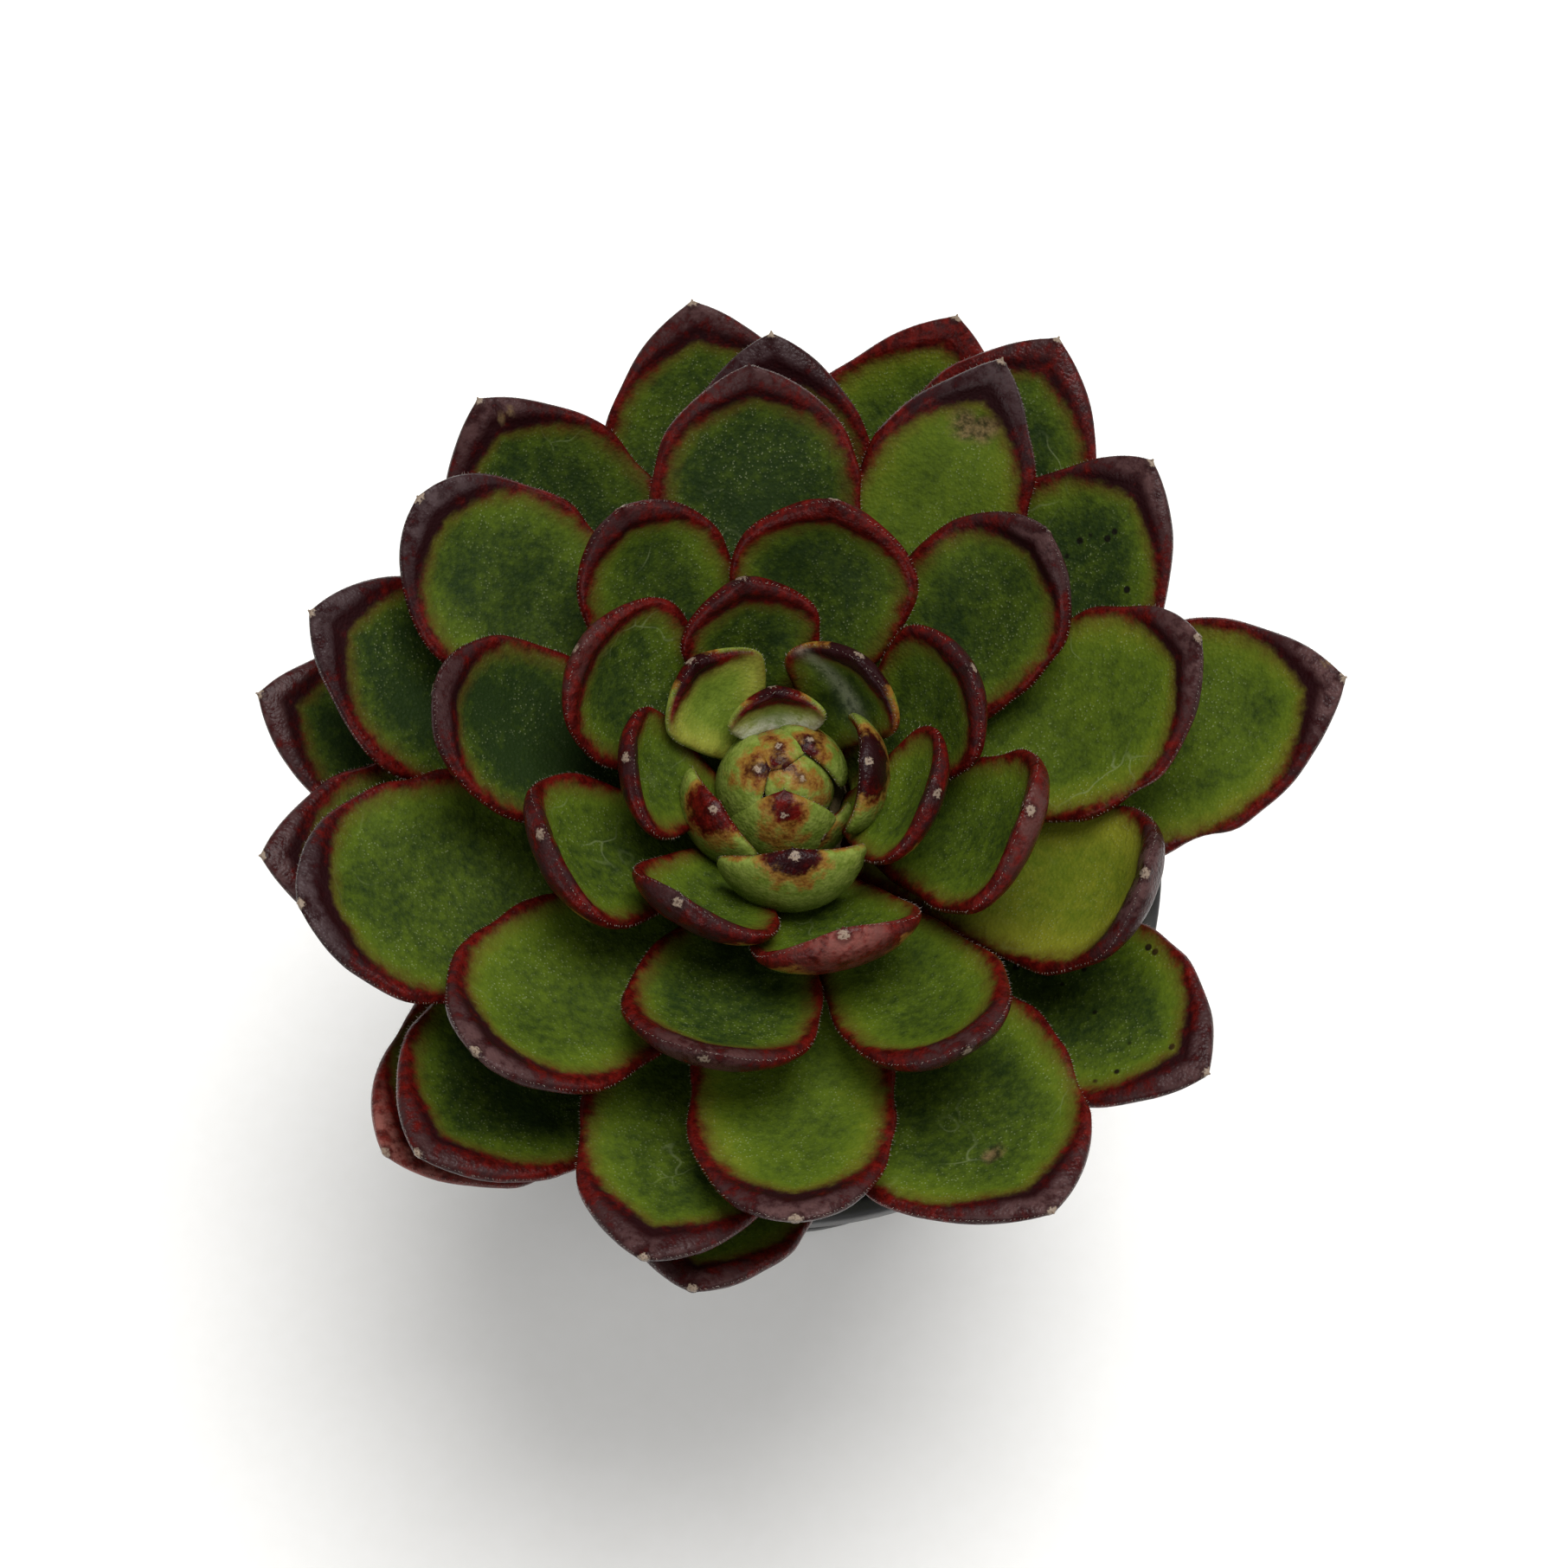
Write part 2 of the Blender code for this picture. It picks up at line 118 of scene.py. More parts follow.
Leaf = namedtuple("Leaf", "turn longer higher curl wider sway", defaults=(0, 0, 0, 0, 0, 0))
LEAVES = {
    -2: Leaf(0), -1: Leaf(0), 0: Leaf(21), 1: Leaf(21), 2: Leaf(16), 3: Leaf(0, curl=14),
    4: Leaf(18), 5: Leaf(-2, curl=22), 6: Leaf(2, -1.2, -1, curl=8), 7: Leaf(1, 2.4),
    8: Leaf(4, 0.6, curl=24), 9: Leaf(4, -2.1), 10: Leaf(-1, -0.2, curl=16),
    11: Leaf(17, -1.1, curl=14, wider=1), 12: Leaf(2, -0.4),
    13: Leaf(-2, -0.9, curl=28, sway=2), 14: Leaf(6, -1.2, wider=1),
    15: Leaf(1, 0.2, wider=2.5, sway=-2), 16: Leaf(-6, -3.8, curl=32, wider=1),
    17: Leaf(9, 0.8, wider=3), 18: Leaf(-5, -2.4, curl=26, wider=1, sway=1.5),
    19: Leaf(-2, -5, curl=32, wider=1, sway=-1.5), 20: Leaf(0.5, -1.1, wider=-1),
    21: Leaf(-4, 0.2, curl=4, wider=1.5), 22: Leaf(2, 0.6), 23: Leaf(-5, -1.2),
    24: Leaf(-15, -2.3, wider=-2.5), 25: Leaf(3.5, 1.8, wider=2), 26: Leaf(-2, 1.6, wider=1),
    27: Leaf(8, -1.2, wider=0.5, sway=-2), 28: Leaf(0, -0.3, wider=0.5),
    29: Leaf(-11, 1, wider=-1.5), 30: Leaf(2, 0.3, wider=-3), 31: Leaf(1.5, 1.2, wider=4),
    32: Leaf(4, -14, curl=60, wider=-3), 34: Leaf(4.5, 1.8, -1),
    35: Leaf(12, -1.3, -1, wider=1, sway=-2.5), 36: Leaf(-4, -1.2, wider=1),
    37: Leaf(-5, 1.3, wider=5, sway=-2), 38: Leaf(10, -4.5), 39: Leaf(9, 1.3, -1, wider=3),
    40: Leaf(12.5, 6.8, -1, wider=3), 41: Leaf(-7, 0.2, wider=3), 42: Leaf(-12, 0.2, -1),
    43: Leaf(9, 5.3, wider=3), 44: Leaf(2, 1), 45: Leaf(-2.5, -0.5, sway=1),
    46: Leaf(-3, 3.2, wider=4.5), 47: Leaf(-17, 1.4, -2, wider=3), 49: Leaf(12.5, 3.6, -4),
    51: Leaf(-0.5, 5.5, -1, wider=4, sway=2),
}
YOUNGEST, OLDEST = min(LEAVES), max(LEAVES)

# How each leaf is coloured: how light and how yellow its green is, how wide its red margin is,
# how many mm its outer face reddens below the tip, how near that red is to dark wine, how much
# wax bloom and painted sheen lie on it, how rosy they are, and how far the red runs along its
# sides
Look = namedtuple("Look", "pale yellow blush belly wine bloom rosy sides", defaults=(0.2, 1.0))
LOOKS = {
    -2: Look(0.7, 0.8, 1, 0.4, 0.6, 0, 0, 0), -1: Look(0.75, 0.8, 1, 0.6, 0.6, 0, 0, 0),
    0: Look(1, 0.5, 1, 1.3, 0.1, 0, 0, 0.1), 1: Look(0.95, 0.6, 1, 1.1, 0.6, 0, 0, 0),
    2: Look(0.9, 0.7, 1, 1, 0.6, 0, 0, 0), 3: Look(0.8, 0.6, 1, 1.3, 0.4, 0, 0, 0.2),
    4: Look(1, 0.9, 2.4, 3, 0.5, 0, 0, 0.1), 5: Look(0.95, 0.5, 1, 3.4, 0.1, 0, 0, 0.4),
    6: Look(0.6, 0.6, 1, 4, 0.85, 0.1, 0, 0.5), 7: Look(0.8, 1, 1.8, 3, 0.7, 0, 0, 0.15),
    8: Look(0.85, 0.7, 1, 3.3, 0.7, 0, 0, 0.65), 9: Look(0.35, 0.5, 1.4, 5, 0.95, 0.1, 0, 0.7),
    10: Look(0.5, 0.5, 0.9, 7, 0.55, 0.1), 11: Look(0.55, 0.5, 0.8, 6, 0.5, 0.15),
    12: Look(0.3, 0.4, 1.5, 8, 0.45, 0.15), 13: Look(0.5, 0.4, 0.8, 7, 0.6, 0.3),
    14: Look(0.4, 0.4, 1.3, 8, 0.6, 0.2), 15: Look(0.35, 0.4, 1.7, 9, 0.35, 0.3, 0.5),
    16: Look(0.5, 0.4, 0.5, 7, 0.1, 0.75, 1), 17: Look(0.3, 0.4, 0.8, 8, 0.3, 0.1),
    18: Look(0.5, 0.4, 1.4, 8, 0.5, 0.2), 19: Look(0.5, 0.4, 1.2, 9, 0.4, 0.35, 0.8),
    20: Look(0.35, 0.4, 0.8, 9, 0.5, 0.25), 21: Look(0.3, 0.4, 1.4, 7, 0.75, 0.5, 0.4),
    22: Look(0.35, 0.4, 1.2, 9, 0.8, 0.7), 23: Look(0.1, 0.3, 1.1, 9, 0.7, 0.4),
    24: Look(0.55, 0.4, 0.7, 8, 0.6, 0.35, 0.3), 25: Look(0.15, 0.2, 1, 9, 0.6, 0.5),
    26: Look(0.55, 0.5, 1.6, 9, 0.8, 0.8), 27: Look(0.65, 0.6, 0.9, 9, 0.8, 0.8),
    28: Look(0.35, 0.3, 1.2, 10, 0.9, 1, 0), 29: Look(0.65, 0.6, 1.4, 9, 0.85, 0.9),
    30: Look(0.75, 0.3, 1.3, 10, 1, 0.8, 0), 31: Look(0.45, 0.3, 1.4, 10, 0.9, 0.9, 0),
    32: Look(1.3, 0.9, 0.8, 9, 0.9, 0.8), 34: Look(0.5, 0.5, 1.4, 9, 0.8, 0.6),
    35: Look(0.25, 0.8, 1.1, 9, 0.9, 0.7), 36: Look(0.15, 0.3, 1.5, 10, 0.9, 0.8, 0),
    37: Look(0.45, 0.6, 0.9, 9, 0.8, 0.8), 38: Look(0.15, 0.2, 1.4, 11, 0.9, 0.7, 0),
    39: Look(0.25, 0.5, 0.9, 9, 0.6, 0.4), 40: Look(0.6, 0.8, 1.1, 10, 1, 0.9),
    41: Look(0.25, 0.3, 1.3, 10, 0.9, 0.6), 42: Look(0.55, 0.4, 0.9, 9, 0.7, 0.5),
    43: Look(0.3, 0.5, 1.1, 10, 0.5, 0.3), 44: Look(0.2, 0.3, 1.2, 10, 0.7, 0.8),
    45: Look(0.35, 0.8, 1, 9, 0.8, 0.6), 46: Look(0.3, 0.3, 1.3, 10, 0.7, 0.6),
    47: Look(0.2, 0.3, 1, 16, 0.1, 1, 1), 49: Look(0.2, 0.3, 1.2, 10, 0.7, 0.8),
    51: Look(0.5, 1, 0.6, 8, 0.2, 0.1),
}


def by_age(table, age):
    ages, values = zip(*table)
    return float(np.interp(age, ages, values))


# ---- the leaves' shape

def stem_radius(z):
    over = np.clip((z - CROWN_TOP) / CROWN_ROUND, 0, 1)
    return STEM_D / 2 * np.sqrt(1 - over**2)


def stem_top(out):
    return CROWN_TOP + CROWN_ROUND * np.sqrt(1 - np.clip(out / (STEM_D / 2), 0, 1)**2)


def foot_of(age):
    if age >= FIRST_ON_SIDE:
        down = (age - FIRST_ON_SIDE) / (OLDEST - FIRST_ON_SIDE)
        return STEM_D / 2, CROWN_TOP - down * (CROWN_TOP - LOWEST_FOOT)
    out = STEM_D / 2 * math.sqrt((age - YOUNGEST + 0.3) / (FIRST_ON_SIDE - YOUNGEST + 0.3))
    return out, float(stem_top(out))


def half_width(along, slim, blunt, shoulder=SHOULDER):
    foot = FOOT_WIDTH * slim
    rise = np.sin(np.clip(along / WIDEST_AT, 0, 1) * math.pi / 2)**(FOOT_FLARE / slim)
    past = np.clip((along - WIDEST_AT) / (1 - WIDEST_AT), 0, 1)
    return np.where(along < WIDEST_AT, foot + (1 - foot) * rise, (1 - past**shoulder)**blunt)


def half_thick(along, slim):
    foot = FOOT_THICK * slim
    rise = foot + (1 - foot) * np.sin(np.clip(along / THICKEST_AT, 0, 1) * math.pi / 2)
    past = np.clip((along - THICKEST_AT) / (1 - THICKEST_AT), 0, 1)
    end = np.sqrt(np.clip((1 - along) / END_ROUND, 0, 1))
    return np.where(along < THICKEST_AT, rise, (1 - TIP_THINNER * past**2) * end)


def centre_line(age, ease):
    """The curve that a leaf's middle follows, as four (out, up) control points."""
    leaf = LEAVES[age]
    foot = np.array(foot_of(age))
    tip = np.array([by_age(REACH, age) + leaf.longer, by_age(TIP_HEIGHT, age) + leaf.higher])
    span = np.linalg.norm(tip - foot)
    start = math.radians(by_age(FOOT_ANGLE, age))
    end = math.radians(by_age(TIP_ANGLE, age) + leaf.curl)
    line = np.array([
        foot,
        foot + FOOT_HANDLE * span * np.array([math.cos(start), math.sin(start)]),
        tip - TIP_HANDLE * span * np.array([math.cos(end), math.sin(end)]),
        tip,
    ])
    outward = np.array([tip[1] - foot[1], foot[0] - tip[0]]) / span
    line[1:3] += ease * BOW_STEP * span * outward
    lean = math.radians(ease * LEAN_STEP)
    back = np.array([[math.cos(lean), math.sin(lean)], [-math.sin(lean), math.cos(lean)]])
    return (line - foot) @ back.T + foot


def curve_at(line, along):
    """The middle of the leaf and the way ahead there, at these shares of its curve."""
    t = np.clip(along, 0, 1)[:, None]
    middle = ((1 - t)**3 * line[0] + 3 * (1 - t)**2 * t * line[1]
              + 3 * (1 - t) * t**2 * line[2] + t**3 * line[3])
    ahead = ((1 - t)**2 * (line[1] - line[0]) + 2 * (1 - t) * t * (line[2] - line[1])
             + t**2 * (line[3] - line[2]))
    return middle, ahead / np.linalg.norm(ahead, axis=1)[:, None]


def wrap(middle, ahead, aside, over):
    """Points aside from a leaf's middle and over it, bent round the rosette's axis."""
    face = np.stack([-ahead[:, 1], ahead[:, 0]], 1)
    bend = np.maximum(middle[:, 0], LEAST_BEND)
    up = bend - (bend - over) * np.cos(aside / bend)
    side = (bend - over) * np.sin(aside / bend)
    return np.stack([middle[:, 0] + up * face[:, 0], side, middle[:, 1] + up * face[:, 1]], 1)


def turn_of(age):
    return math.radians(FIRST_TURN + DIVERGENCE * age + LEAVES[age].turn)


def slide_off_stem(age, foot_ring, points):
    """How far a leaf moves for its foot to stand off the stem by the gap."""
    if age >= FIRST_ON_SIDE:
        clear = np.hypot(points[:, 0], points[:, 1]) - stem_radius(points[:, 2])
        return np.array([GAP - clear.min(), 0, 0])
    under = stem_top(np.hypot(foot_ring[:, 0], foot_ring[:, 1])) - foot_ring[:, 2]
    return np.array([0, 0, max(0.0, under.max() + GAP)])


def stand(age, points):
    """A leaf's points, made as if it grew towards +X, in their place over the soil."""
    c, s = math.cos(turn_of(age)), math.sin(turn_of(age))
    return points @ np.array([[c, s, 0], [-s, c, 0], [0, 0, 1]]) + np.array([0, 0, SOIL_LEVEL])


def solid_leaf(age, ease):
    """The part's own leaf: twelve points round each of eight stations, and its end."""
    along = np.array(SOLID_STATIONS)
    middle, ahead = curve_at(centre_line(age, ease), np.append(along, 1.0))
    slim = 1 - ease * SLIM_STEP
    size = by_age(WIDTH, age)
    wide = (LEAF_WIDTH * size + LEAVES[age].wider) / 2
    wide = wide * half_width(along, slim, by_age(BLUNT, age))
    aside = LEAVES[age].sway * along**2 * (1 - along) / SWAY_PEAK
    thick = LEAF_THICK * by_age(THICK, age) / 2 * half_thick(along, slim)
    turn = np.arange(SOLID_AROUND) * 2 * math.pi / SOLID_AROUND
    across = np.sign(np.cos(turn)) * np.abs(np.cos(turn))**SOLID_SECTION
    over = np.sign(np.sin(turn)) * np.abs(np.sin(turn))**SOLID_SECTION
    over *= np.where(np.sin(turn) > 0, UPPER_HALF, LOWER_HALF)
    rings = wrap(np.repeat(middle[:-1], SOLID_AROUND, 0), np.repeat(ahead[:-1], SOLID_AROUND, 0),
                 (np.outer(wide, across) + aside[:, None]).ravel(), np.outer(thick, over).ravel())
    end = middle[-1] + POINT_LENGTH * size * ahead[-1]
    points = np.concatenate([rings, [[end[0], 0.0, end[1]]]])
    slide = slide_off_stem(age, points[:SOLID_AROUND], points)
    return stand(age, points + slide), slide


def ease_of(age):
    """The ease, and the slide off the stem, that fill the box of the leaf's solid."""
    low, high = (np.array(corner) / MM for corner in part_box(leaf_name(age)))

    def miss(ease):
        points = solid_leaf(age, ease)[0]
        return np.abs(points.min(0) - low).sum() + np.abs(points.max(0) - high).sum()

    ease = min(range(MOST_STEPS), key=miss)
    return ease, solid_leaf(age, ease)[1]


def leaf_name(age):
    return f"leaf_{age - YOUNGEST + 1:02d}"


# ---- one leaf as it grew

def ripple(points, size, seed):
    """Smooth noise from -1 to 1 at each point, with lumps about this many mm across."""
    return np.array([noise.noise(Vector(p) / size + Vector((seed, 7.1 * seed, -seed)))
                     for p in points])


def smooth(value, low, high):
    t = np.clip((value - low) / (high - low), 0, 1)
    return t * t * (3 - 2 * t)


def margin_distance(x, y, outline_x, outline_w):
    """How far points of the flat leaf are from its outline, in mm."""
    steps = np.linspace(0, len(outline_x) - 1, 260)
    ox = np.interp(steps, np.arange(len(outline_x)), outline_x)
    ow = np.interp(steps, np.arange(len(outline_x)), outline_w)
    return np.sqrt(((x[:, None] - ox)**2 + (np.abs(y)[:, None] - ow)**2).min(1))


Grown = namedtuple("Grown", "points faces marks sides")

RIDGE_AT_SIDE = 0.35  # mm from a leaf's outline in to the ridge round its upper face
RIDGE_AT_TIP = ((-3, 0.15), (4, 0.4), (9, 1.3), (16, 1.9), (26, 2.4), (51, 2.7))
DISH_SLOPE = 0.62  # how steeply the upper face sinks inside the ridge
DISH_DEPTH = 1.35  # mm
UNEVEN = 0.09  # of a leaf's width that its two sides depart from the even outline
WAVE = 0.3  # mm that a full-grown leaf undulates
WAVE_SIZE = 9.0  # mm across
DIMPLE = 0.07
DIMPLE_SIZE = 2.2
CALLUS_BELOW = 0.9  # mm down the outer face from the tip to the dry callus of a younger leaf
CALLUS_BELOW_OLD = 0.3
CALLUS_HEIGHT = 0.2
CALLUS_RADIUS = (0.42, 0.36)  # mm on the smallest leaf, and what a full-grown one adds
OLD_FROM = 26  # the age from which a leaf's callus sits right at its tip
SPECKLED = (35, 45)  # the leaves with dark specks
TIP_ZONE = 7.5  # mm from a full-grown leaf's tip in which the red widens
RED_AT_SIDES = 0.3  # mm in from the ridge
RED_AT_TIP = 1.8
BARE_SIDES = 1.6  # mm by which the red stays away from the sides of a leaf that has none there


def paint(look, age, size, edge, rim, tip, under):
    """What the skin shows at each point: its lightness, its red borders in mm, its wax bloom with
    a painted sheen.
    """
    to_tip = np.exp(-(tip / (TIP_ZONE * size + 2))**2)
    pale = 0.6 * look.pale + (0.15 + 0.4 * look.yellow) * (1 - smooth(edge, 0, 6 * size + 1))
    bare = 1 - look.sides
    margin = (edge - look.blush * (RED_AT_SIDES * look.sides + RED_AT_TIP * size * to_tip)
              + BARE_SIDES * bare * (1 - to_tip))
    belly = np.minimum(tip - look.belly, (rim - 0.5 - 0.9 * size + 4 * bare) * 2.5)
    # wax bloom with a painted sheen on it, on the rolled margin near the tip and on the outer face
    # below the tip
    bloom_and_sheen_mask = look.bloom * np.maximum((1 - under) * (1 - smooth(edge, -1.2, 0.6)) * to_tip,
                                    under * np.exp(-(tip / (0.75 * look.belly))**2))
    wine = look.wine * np.exp(-(tip / (1.1 * look.belly + 2))**2)
    return {"edge": edge, "under": under, "pale": pale, "margin": margin, "belly": belly,
            "bloom_and_sheen_mask": bloom_and_sheen_mask, "wine": wine, "rosy": np.full(len(tip), look.rosy),
            "specks": np.full(len(tip), 1.0 if age in SPECKLED else 0.12)}


# How far along a leaf its wool lies, how much further to one side, how wide and how thick it is
WOOL = {4: (0.42, 0, 0.14, 0.9), 9: (0.55, 0.03, 0.07, 0.3)}


def wool_on(age, along, y, under):
    """The white wool that a young leaf keeps across its inner face where it leaves the bud."""
    middle, slant, width, thick = WOOL.get(age, (0, 0, 1, 0))
    return (1 - under) * np.exp(-((along - middle - slant * y) / width)**2) * thick


# Scars on single leaves, in mm: how far from the tip and aside, how big, and how deep
SCARS = {30: ((9.6, 1.1, 2.0, 0.5), (9.2, -1.4, 1.9, 0.5)), 37: ((12.5, 0.6, 1.1, 0.5),),
         40: ((3.0, 2.4, 0.5, 0.1),), 41: ((3.9, -1.2, 0.6, 0.1), (4.5, -2.6, 0.5, 0.1))}


def scars_on(age, tip, y, under):
    """Where corky scars lie on a leaf's upper face, from 0 to 1, and how deep they are."""
    cork, dent = np.zeros(len(tip)), np.zeros(len(tip))
    for down, aside, radius, depth in SCARS.get(age, ()):
        far = np.hypot(tip - down, y - aside)
        cork = np.maximum(cork, (1 - under) * (1 - smooth(far, 0.6 * radius, 1.2 * radius)))
        dent = np.maximum(dent, depth * cork)
    return cork, dent


# The youngest leaves close over each other in a bud, each bent to part of a ball. In mm and
# degrees: the ball's radius, the tip's angle from upright on it, the leaf's width, and how far
# the ball's centre is out from the stem's axis and above the soil
BUD = {-2: (5.4, -34, 11, 0, 30.1), -1: (6.1, -4, 12, 0, 30.0), 0: (8.0, 15, 14, 0.2, 28.4),
       1: (6.8, 24, 12, 0.1, 29.6), 2: (6.9, 10, 13, 0.1, 29.4), 3: (7.6, 62, 12, 0.2, 29.0),
       5: (8.8, 42, 15, 2.8, 32.6), 6: (9.0, 46, 16.5, 2.0, 33.8), 8: (9.8, 40, 20, 5.6, 35.6)}
BUD_FOOT = 138.0  # degrees from upright to a leaflet's foot, on its ball
BUD_BLUNT = 0.9

# Leaves whose ends are sharper than the solids' ends
POINTED = {4: 1.15, 7: 1.1, 9: 0.85, 10: 0.85, 12: 1.05, 14: 0.8, 15: 0.8, 17: 0.9, 18: 0.8,
           20: 0.75, 22: 0.8, 25: 0.85, 27: 0.75, 30: 0.9, 34: 0.85}
# Leaves whose sides run straighter to the point
SHOULDERS = {4: 1.6, 7: 1.6, 9: 1.9, 10: 1.9, 12: 1.7, 17: 1.9, 30: 1.9}

ROWS_ALONG = (26, 32)  # a leaf's rows of points, and how many more a full-grown one has
COLUMNS_ACROSS = (16, 14)
ROWS_CROWD = 1.6  # above 1 the rows stand closer towards the tip
COLUMNS_CROWD = 0.7  # from 0 to 1, how far the columns crowd to the sides
SECTION_POWER = 2.353  # 2 / SOLID_SECTION, so that the section has the solid's outline
SLACK = 0.97  # of the solid's thickness


def rings_to_end(rings, around):
    """The faces over rings of points, from a flat foot to one last point."""
    faces = [list(range(around))[::-1]]
    for ring in range(rings - 1):
        for j in range(around):
            a, b = ring * around + j, ring * around + (j + 1) % around
            faces.append([a, b, b + around, a + around])
    last = (rings - 1) * around
    return faces + [[last + j, last + (j + 1) % around, last + around] for j in range(around)]


def close_over(age, x, y, over):
    """The points of a leaf in the bud, bent to its ball, with the upper face inside."""
    radius, tip, _, centre_out, centre_up = BUD[age]
    down = np.radians(tip + (BUD_FOOT - tip) * (1 - x / x.max()))
    side = y / radius
    out = radius - over
    return np.stack([centre_out + out * np.cos(side) * np.sin(down), out * np.sin(side),
                     centre_up + out * np.cos(side) * np.cos(down)], 1)


def grow(age):
    """A leaf's points, its faces, and what its skin needs to know at each point."""
    ease, slide = ease_of(age)
    line = centre_line(age, ease)
    slim = 1 - ease * SLIM_STEP
    size = by_age(WIDTH, age)
    full_width = BUD[age][2] if age in BUD else LEAF_WIDTH * size + LEAVES[age].wider
    blunt = BUD_BLUNT if age in BUD else POINTED.get(age, by_age(BLUNT, age))
    look = LOOKS[age]
    seed = 3.7 * (age - YOUNGEST) + 1.3

    fine = np.linspace(0, 1, 200)
    track = curve_at(line, fine)[0]
    length = np.concatenate([[0], np.cumsum(np.linalg.norm(np.diff(track, axis=0), axis=1))])
    point = 0.45 * POINT_LENGTH * size
    stations = round(ROWS_ALONG[0] + ROWS_ALONG[1] * size)
    x = (length[-1] + point) * (1 - (1 - np.linspace(0, 1, stations + 1)[:-1])**ROWS_CROWD)
    along = np.interp(x, length, fine)
    middle, ahead = curve_at(line, along)
    middle = middle + ahead * np.maximum(0, x - length[-1])[:, None]

    horn = np.sqrt(np.clip((length[-1] + point - x) / (point + 0.5), 0, 1))
    horn = np.where(x > length[-1] - 0.5, horn * (0.1 + 0.16 * size), 0)
    spots = np.stack([x, 0 * x, 0 * x], 1)
    left, right = (UNEVEN * ripple(spots, 6.0, seed + side) for side in (0, 11))
    wide = full_width / 2 * half_width(along, slim, blunt, SHOULDERS.get(age, SHOULDER))
    thick = SLACK * LEAF_THICK * by_age(THICK, age) / 2 * half_thick(along, slim)
    wide, thick = np.maximum(wide, horn), np.maximum(thick, 0.8 * horn)

    steps = round(COLUMNS_ACROSS[0] + COLUMNS_ACROSS[1] * size)
    share = np.linspace(-1, 1, steps + 1)
    row = COLUMNS_CROWD * np.sin(share * math.pi / 2) + (1 - COLUMNS_CROWD) * share
    across = np.concatenate([row[::-1], row[1:-1]])
    upper = np.concatenate([np.ones(steps + 1), -np.ones(steps - 1)])
    rise = np.clip(1 - np.abs(across)**SECTION_POWER, 0, 1)**(SOLID_SECTION / 2)
    over = rise * np.where(upper > 0, UPPER_HALF, -LOWER_HALF)
    around = len(across)

    # every point of the leaf laid flat, how far it is from the rim and tip, and its height
    flat_x = np.repeat(x, around)
    flat_y = (np.outer(wide, across) + np.outer(wide * left, across * (1 + across) / 2)
              + np.outer(wide * right, across * (1 - across) / 2)).ravel()
    is_upper = np.tile(np.where(rise > 0, upper, 0), stations)
    flat = np.stack([flat_x, flat_y, 0 * flat_x], 1)
    rim = margin_distance(flat_x, flat_y, x, wide)
    tip = np.hypot(length[-1] + point - flat_x, flat_y)
    lift = np.outer(thick, over).ravel()
    away = smooth(flat_x, 0.25 * length[-1], 0.6 * length[-1])
    ridge = RIDGE_AT_SIDE * size
    ridge = ridge + (by_age(RIDGE_AT_TIP, age) - ridge) * np.exp(-(tip / (10 * size))**2)
    sink = np.maximum(0, rim - ridge)
    sink = DISH_SLOPE * sink / (1 + DISH_SLOPE * sink / (DISH_DEPTH * size))
    lift -= np.where(is_upper > 0, sink * away, 0)
    lift += WAVE * size * away * ripple(flat, WAVE_SIZE, seed)
    lift += DIMPLE * away * ripple(flat, DIMPLE_SIZE, seed + 5) * np.where(rim < 0.4, 0.5, 1)
    if age in BUD:
        points = close_over(age, np.append(flat_x, length[-1] + point), np.append(flat_y, 0),
                            np.append(lift, 0))
    else:
        aside = LEAVES[age].sway * along**2 * (1 - along) / SWAY_PEAK
        points = wrap(np.repeat(middle, around, 0), np.repeat(ahead, around, 0),
                      flat_y + np.repeat(aside, around), lift)
        end = middle[-1] + ahead[-1] * (length[-1] + point - x[-1])
        points = np.concatenate([points, [[end[0], 0, end[1]]]])
    tip, rim, edge = np.append(tip, 0), np.append(rim, 0), np.append(rim - ridge, -1)
    under = np.append(0.5 - 0.5 * is_upper, 0.5)

    # the callus: a low ring round the point of the outer face that is nearest its place
    marks = paint(look, age, size, edge, rim, tip, under)
    below = CALLUS_BELOW if age < OLD_FROM else CALLUS_BELOW_OLD
    heart = np.argmin(np.hypot(tip - below, np.append(flat_y, 9)) + 9 * (1 - under))
    callus_radius = CALLUS_RADIUS[0] + CALLUS_RADIUS[1] * size
    callus = np.linalg.norm(points - points[heart], axis=1) / callus_radius
    marks["callus"] = callus
    ring = np.exp(-((callus - 0.75) / 0.3)**2) * CALLUS_HEIGHT * size
    middles = np.append(points[:-1].reshape(stations, around, 3).mean(1).repeat(around, 0),
                        points[-1:], 0)
    outward = points - middles
    outward /= np.linalg.norm(outward, axis=1)[:, None] + 1e-6
    points = points + ring[:, None] * outward
    marks["wool"] = wool_on(age, np.append(flat_x / length[-1], 1), np.append(flat_y, 0), under)
    marks["cork"], dent = scars_on(age, tip, np.append(flat_y, 0), under)
    points = points - dent[:, None] * outward
    sides = np.arange(stations)[:, None] * around + np.array([0, steps])
    return Grown(stand(age, points + slide), rings_to_end(stations, around), marks, sides)


HAIR_SPACING = 0.5
HAIR_LENGTH = 0.32
HAIR_RADIUS = 0.03
HAIR_FROM = 0.45  # of the way along the leaf to the first hair
HAIR_LEAN = 0.5  # how far hairs lean towards the tip


